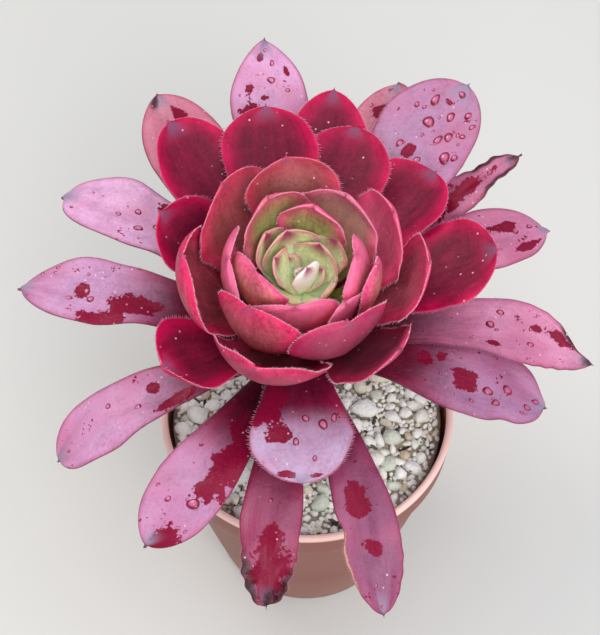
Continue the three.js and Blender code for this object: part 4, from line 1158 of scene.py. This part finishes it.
def make_stem(material):
    """The stem: a tube with an uneven skin, waves in height and angle, and raised crescent scars
    where leaves have dropped, a golden angle apart."""
    rows, ring = 150, 64
    height = np.linspace(STEM_FOOT, STEM_TOP, rows)
    spin = circle(ring)
    h, a = np.meshgrid(height, spin, indexing="ij")
    radius = STEM_RADIUS - 0.25 + 0.12 * np.sin(h * 1.3 + 2 * a) + 0.1 * np.sin(h * 0.7 - 3 * a)
    scar = np.zeros_like(h)
    for order in range(SCARS):
        rise = h - (FIRST_SCAR + order * SCAR_STEP)
        scar_angle = math.radians(order * GOLDEN_ANGLE)
        away = np.angle(np.exp(1j * (a - scar_angle))) * STEM_RADIUS
        crescent = np.sqrt((away / SCAR_WIDTH) ** 2 + ((rise - 0.09 * away * away) / SCAR_HEIGHT) ** 2)
        scar = np.maximum(scar, 1.0 - np.clip(crescent, 0.0, 1.0))
    scar = smooth(scar, 0.0, 0.6) * (h < SCARS_END)
    radius = np.minimum(radius + 0.4 * scar, STEM_RADIUS)
    points = np.stack([STEM_AXIS_X + radius * np.cos(a), radius * np.sin(a), h], -1).reshape(-1, 3)
    quads, triangles = tube_faces(rows, ring)
    ends = [[STEM_AXIS_X, 0.0, STEM_FOOT], [STEM_AXIS_X, 0.0, STEM_TOP]]
    values = {"scar": np.concatenate([scar.ravel(), [0.0, 0.0]])}
    shape = Shape(np.concatenate([points, ends]), quads, triangles, values).facing_out()
    build_piece("scarred_stem", shape, material, ("stem",))


def soil_height(distance):
    """Height of the soil's mound at a distance from the middle of the pot."""
    share = np.clip(distance / POT_RIM_RADIUS, 0.0, 1.0)
    return SOIL_TOP + SOIL_MOUND * (1.0 - share) ** 2


def inner_radius(height):
    """Radius of the pot's inner wall at a height."""
    collar_foot = POT_HEIGHT - COLLAR_HEIGHT
    body_radius = POT_RIM_RADIUS - COLLAR_FLARE - COLLAR_STEP
    return mixed(POT_BASE_RADIUS, body_radius, height / collar_foot) - POT_WALL


def make_soil(material):
    """The crumbly bed that the stones lie in: a disc whose height adds waves of several lengths."""
    rows, ring = 40, 120
    edge = inner_radius(SOIL_TOP) - SOIL_GAP
    distance = np.linspace(edge, 1.0, rows)
    spin = circle(ring)
    d, a = np.meshgrid(distance, spin, indexing="ij")
    x, y = d * np.cos(a), d * np.sin(a)
    crumbs = 0.5 * np.sin(x * 0.9 + 1.0) * np.sin(y * 0.8)
    crumbs = crumbs + 0.35 * np.sin(x * 2.1 + y * 1.3) * np.sin(y * 2.4 - x * 0.6)
    z = soil_height(d) + (BED_TOP - SOIL_TOP) + crumbs
    rim_rows = [POT_FLOOR + SOIL_GAP, SOIL_TOP - 4.0]
    lower = []
    for height in rim_rows:
        radius = inner_radius(height) - SOIL_GAP
        lower.append(np.stack([radius * np.cos(spin), radius * np.sin(spin), np.full(ring, height)], -1))
    points = np.concatenate([*lower, np.stack([x, y, z], -1).reshape(-1, 3)])
    quads, triangles = tube_faces(rows + len(rim_rows), ring)
    ends = [[0.0, 0.0, rim_rows[0]], [0.0, 0.0, float(z[-1].mean())]]
    shape = Shape(np.concatenate([points, ends]), quads, triangles).facing_out()
    build_piece("soil_bed", shape, material, ("soil",))


def broken_stones(places, sizes, stretches, random):
    """Broken stones, all at once: a ball of directions cut by a few random planes.

    In each direction d the radius is the soft smallest of h / (d . n) over the planes, so flat
    faces meet in worn edges. Each stone is then stretched, turned and put in its place.
    """
    count = len(sizes)
    rings, ring = 6, 10
    polar = np.linspace(0.0, np.pi, rings + 2)[1:-1]
    spin = circle(ring)
    p, a = np.meshgrid(polar, spin, indexing="ij")
    ball = np.stack([np.sin(p) * np.cos(a), np.sin(p) * np.sin(a), np.cos(p)], -1).reshape(-1, 3)
    ball = np.concatenate([ball, [[0, 0, 1]], [[0, 0, -1]]])
    planes = unit(random.normal(size=(count, STONE_PLANES, 3)))
    reach = random.uniform(0.66, 1.0, (count, STONE_PLANES))
    facing = np.maximum(np.einsum("skn,dn->skd", planes, ball), 0.0) / reach[..., None]
    radius = 1.0 / (np.sum(facing ** EDGE_SHARPNESS, 1) + 0.15) ** (1.0 / EDGE_SHARPNESS)
    points = ball[None] * radius[..., None] * stretches[:, None, :]
    spins = unit(random.normal(size=(count, 3)) * [0.6, 0.6, 1.0])
    angles = random.uniform(0.0, 2.0 * np.pi, count)
    axes = spins[:, None, :] * np.ones_like(points)
    lying = turned(points, axes, angles[:, None] * np.ones(points.shape[:2]))
    lying = lying * sizes[:, None, None] + places[:, None, :]
    quads, triangles = tube_faces(rings, ring)
    starts = np.arange(count)[:, None, None] * len(ball)
    return lying, (quads[None] + starts).reshape(-1, 4), (triangles[None] + starts).reshape(-1, 3)


def frame_stones():
    """The large stones' places and sizes, by the same seeded rule as the frame's grit.

    They lie on a spiral a golden angle apart, at a distance that grows with the square root of
    their order. The random numbers come from a linear congruential generator.
    """
    state = LARGE_STONE_SEED

    def draw():
        nonlocal state
        state = (state * 1664525 + 1013904223) % 4294967296
        return state / 4294967296

    edge = inner_radius(SOIL_TOP) - 1.2
    places, sizes = [], []
    for index in range(LARGE_STONES):
        size = mixed(*LARGE_STONE_RADII, draw() ** 2.2)
        distance = (edge - size * 1.1) * math.sqrt((index + 0.5) / LARGE_STONES)
        if distance < STEM_RADIUS + size + 3:
            continue
        # The frame's rule draws five more numbers here, for the stone's own shape.
        for _ in range(5):
            draw()
        angle = math.radians(index * GOLDEN_ANGLE)
        places.append([distance * math.cos(angle), distance * math.sin(angle)])
        sizes.append(size * LARGE_STONE_SHRINK)
    return places, sizes


def bed_height(places):
    """Height of the bed's surface at places round the middle of the pot."""
    return soil_height(np.linalg.norm(places, axis=1)) + (BED_TOP - SOIL_TOP)


def drop_small_stones(places, sizes, edge, random):
    """Adds small stones where they fit between those that lie there.

    The radius is 0.9 mm and up to 2.6 mm more, times a random number to a power that grows with
    each try, so that the later stones are the smaller ones.
    """
    for attempt in range(DROPS):
        if len(sizes) >= STONES:
            break
        size = 0.9 + 2.6 * random.random() ** (1.0 + attempt / 3500.0)
        distance = (edge - size) * math.sqrt(random.random())
        angle = random.uniform(0.0, 2.0 * math.pi)
        spot = np.array([distance * math.cos(angle), distance * math.sin(angle)])
        if math.hypot(spot[0] - STEM_AXIS_X, spot[1]) < STEM_RADIUS + size:
            continue
        gaps = np.linalg.norm(np.array(places) - spot, axis=1) - (np.array(sizes) + size) * 0.66
        if gaps.min() > 0.0:
            places.append(spot.tolist())
            sizes.append(size)
    return np.array(places), np.array(sizes)


def make_stones(material, edge, random):
    """The top dressing: the large stones, with small ones dropped between them."""
    places, sizes = drop_small_stones(*frame_stones(), edge, random)
    count = len(sizes)
    stretches = random.uniform([0.95, 0.7, 0.6], [1.25, 1.0, 0.85], (count, 3))
    height = bed_height(places) + sizes * random.uniform(0.15, 0.5, count)
    centres = np.concatenate([places, height[:, None]], 1)
    lying, quads, triangles = broken_stones(centres, sizes, stretches, random)
    tones = np.array([paint(tone)[:3] for tone in STONE_TONES])
    pick = random.choice(len(tones), count, p=STONE_SHARES)
    tone = np.repeat(tones[pick] * random.uniform(0.94, 1.0, (count, 1)), lying.shape[1], 0)
    shape = Shape(lying.reshape(-1, 3), quads, triangles, {"tone": tone}).facing_out()
    build_piece("pumice_stones", shape, material, ("grit",))


def make_shreds(material, edge, random):
    """Shreds of bark and dead leaf strewn over the stones."""
    angle = random.uniform(0.0, 2.0 * np.pi, SHREDS)
    distance = (edge - 2.0) * np.sqrt(random.random(SHREDS))
    places = np.stack([distance * np.cos(angle), distance * np.sin(angle)], -1)
    places = places[np.hypot(places[:, 0] - STEM_AXIS_X, places[:, 1]) > STEM_RADIUS + 2.0]
    count = len(places)
    sizes = 0.6 + 1.5 * random.random(count) ** 2
    stretches = random.uniform([1.2, 0.35, 0.12], [2.0, 0.7, 0.3], (count, 3))
    height = bed_height(places) + random.uniform(0.3, 1.4, count)
    centres = np.concatenate([places, height[:, None]], 1)
    lying, quads, triangles = broken_stones(centres, sizes, stretches, random)
    tones = np.array([paint(tone)[:3] for tone in SHRED_TONES])
    pick = random.choice(len(tones), count, p=SHRED_SHARES)
    tone = np.repeat(tones[pick], lying.shape[1], 0)
    shape = Shape(lying.reshape(-1, 3), quads, triangles, {"tone": tone}).facing_out()
    build_piece("bark_shreds", shape, material)


def make_grit(stone_material, chip_material):
    """The stones and the shreds, from one run of random numbers."""
    random = np.random.default_rng(GRIT_SEED)
    edge = inner_radius(SOIL_TOP) - 0.4
    make_stones(stone_material, edge, random)
    make_shreds(chip_material, edge, random)


# ------------------------------------------------------------------ studio

def set_camera():
    """A camera that looks down on the plant from the front."""
    elevation = math.radians(CAMERA_ELEVATION)
    target = Vector(CAMERA_TARGET) * MM
    back = Vector((0.0, -math.cos(elevation), math.sin(elevation)))
    data = bpy.data.cameras.new("camera")
    data.sensor_width = 36.0
    data.lens = FOCAL_PIXELS / IMAGE_HEIGHT * data.sensor_width
    data.clip_start = 0.01
    camera = put_in_scene("camera", data)
    camera.location = target + back * CAMERA_DISTANCE * MM
    camera.rotation_mode = "QUATERNION"
    camera.rotation_quaternion = (-back).to_track_quat("-Z", "Y")
    bpy.context.scene.camera = camera


def add_softbox(name, place, target, size, power, colour):
    """One square area light that faces a target, its place and size in metres, its power in watts."""
    data = bpy.data.lights.new(name, "AREA")
    data.shape = "SQUARE"
    data.size = size
    data.energy = power
    data.color = paint(colour)[:3]
    light = put_in_scene(name, data)
    light.location = place
    aim = Vector(target) - Vector(place)
    light.rotation_mode = "QUATERNION"
    light.rotation_quaternion = aim.to_track_quat("-Z", "Y")


def set_studio():
    """A pale floor under an even sky, with three soft lights: a warm key from the back left, a
    broad one overhead and a fill from the front right."""
    mesh = bpy.data.meshes.new("floor")
    corners = [(-3, -3, 0), (3, -3, 0), (3, 3, 0), (-3, 3, 0)]
    mesh.from_pydata(corners, [], [(0, 1, 2, 3)])
    mesh.materials.append(studio_floor())
    floor = put_in_scene("floor", mesh)
    world = bpy.data.worlds.new("sky")
    world.use_nodes = True
    sky = world.node_tree.nodes["Background"]
    sky.inputs["Color"].default_value = paint("#e8eef6")
    sky.inputs["Strength"].default_value = 0.7
    bpy.context.scene.world = world
    crown = (0.0, 0.0, 0.12)
    front = (0.0, -0.02, 0.1)
    add_softbox("key", (-0.45, 0.35, 0.95), crown, size=0.4, power=3.6, colour="#fffaf2")
    add_softbox("overhead", (0.25, -0.2, 1.1), crown, size=1.0, power=5.2, colour="#f4f8ff")
    add_softbox("front", (0.3, -0.9, 0.85), front, size=0.7, power=8.0, colour="#ffffff")
    bpy.context.scene.view_settings.view_transform = "Standard"


# ------------------------------------------------------------------ assembly

set_camera()
set_studio()

SKINS = {
    "outer": leaf_skin(
        "old_leaf_skin", flesh=("#9c1c48", "#701434", "#521024"), back=("#8f4a6c", "#7d3a58", "#5e2238"),
        band=(-2.0, 8.0), foot=(0.2, 0.62), tip=("#85788f", 0.9, 0.65, 0.9), edge=("#552540", 0.6),
        flush=("#b5476f", 0.5), bloom=0.96, roughness=0.34, shine=0.15, glow=0.08, flecks=0.9,
    ),
    "middle": leaf_skin(
        "grown_leaf_skin", flesh=("#be0c4a", "#6e122f", "#3e0b18"), back=("#b81a50", "#8c2840", "#50141f"),
        band=(-2.0, 8.0), foot=(0.2, 0.62), tip=("#65506a", 0.88, 0.6, 0.75), edge=("#e08aa4", 0.15),
        flush=("#b5476f", 0.2), bloom=1.0, roughness=0.4, shine=0.14, glow=0.1,
    ),
    "inner": leaf_skin(
        "young_leaf_skin", flesh=("#cc1a56", "#933a48", "#84363c"), back=("#cc1c58", "#a84e58", "#96605a"),
        band=(-1.0, 9.0), foot=(0.2, 0.62), tip=("#7c4a62", 0.9, 0.5, 0.6), edge=("#eb9cb2", 0.15),
        flush=("#b5476f", 0.2), bloom=1.0, roughness=0.4, shine=0.2, glow=0.25,
    ),
    "core": leaf_skin(
        "tender_leaf_skin", flesh=("#d24872", "#8c8850", "#a4b862"), back=("#e04a80", "#cc8078", "#c6b486"),
        band=(-1.0, 7.5), foot=(0.2, 0.62), tip=("#8a3a56", 0.92, 0.6, 0.8), edge=("#f0adbf", 0.15),
        flush=("#b5476f", 0.2), bloom=1.0, roughness=0.4, shine=0.25, glow=0.3,
    ),
    "heart": leaf_skin(
        "newborn_leaf_skin", flesh=("#d4486c", "#acba6c", "#dfe8b6"), back=("#e09a9c", "#d2dca2", "#f2f5da"),
        band=(0.4, 3.6), foot=(0.3, 0.8), tip=("#962456", 0.6, 0.62, 0.95), edge=("#e8a4b0", 0.5),
        flush=("#e6eecb", 0.4), bloom=1.7, roughness=0.36, shine=0.35, glow=0.5,
    ),
}
FRINGES = {
    "outer": fringe_hair("worn_fringe", "#caa3b4"),
    "middle": fringe_hair("grown_fringe", "#dc7a98"),
    "inner": fringe_hair("young_fringe", "#e7889f"),
    "core": fringe_hair("tender_fringe", "#ee9db3"),
    "heart": fringe_hair("newborn_fringe", "#f2d8d2"),
}
grow_plant(SKINS, FRINGES, water_bead())
make_pot(moulded_polypropylene())
make_stem(stem_bark())
make_soil(potting_soil())
make_grit(pumice(), bark_chip())
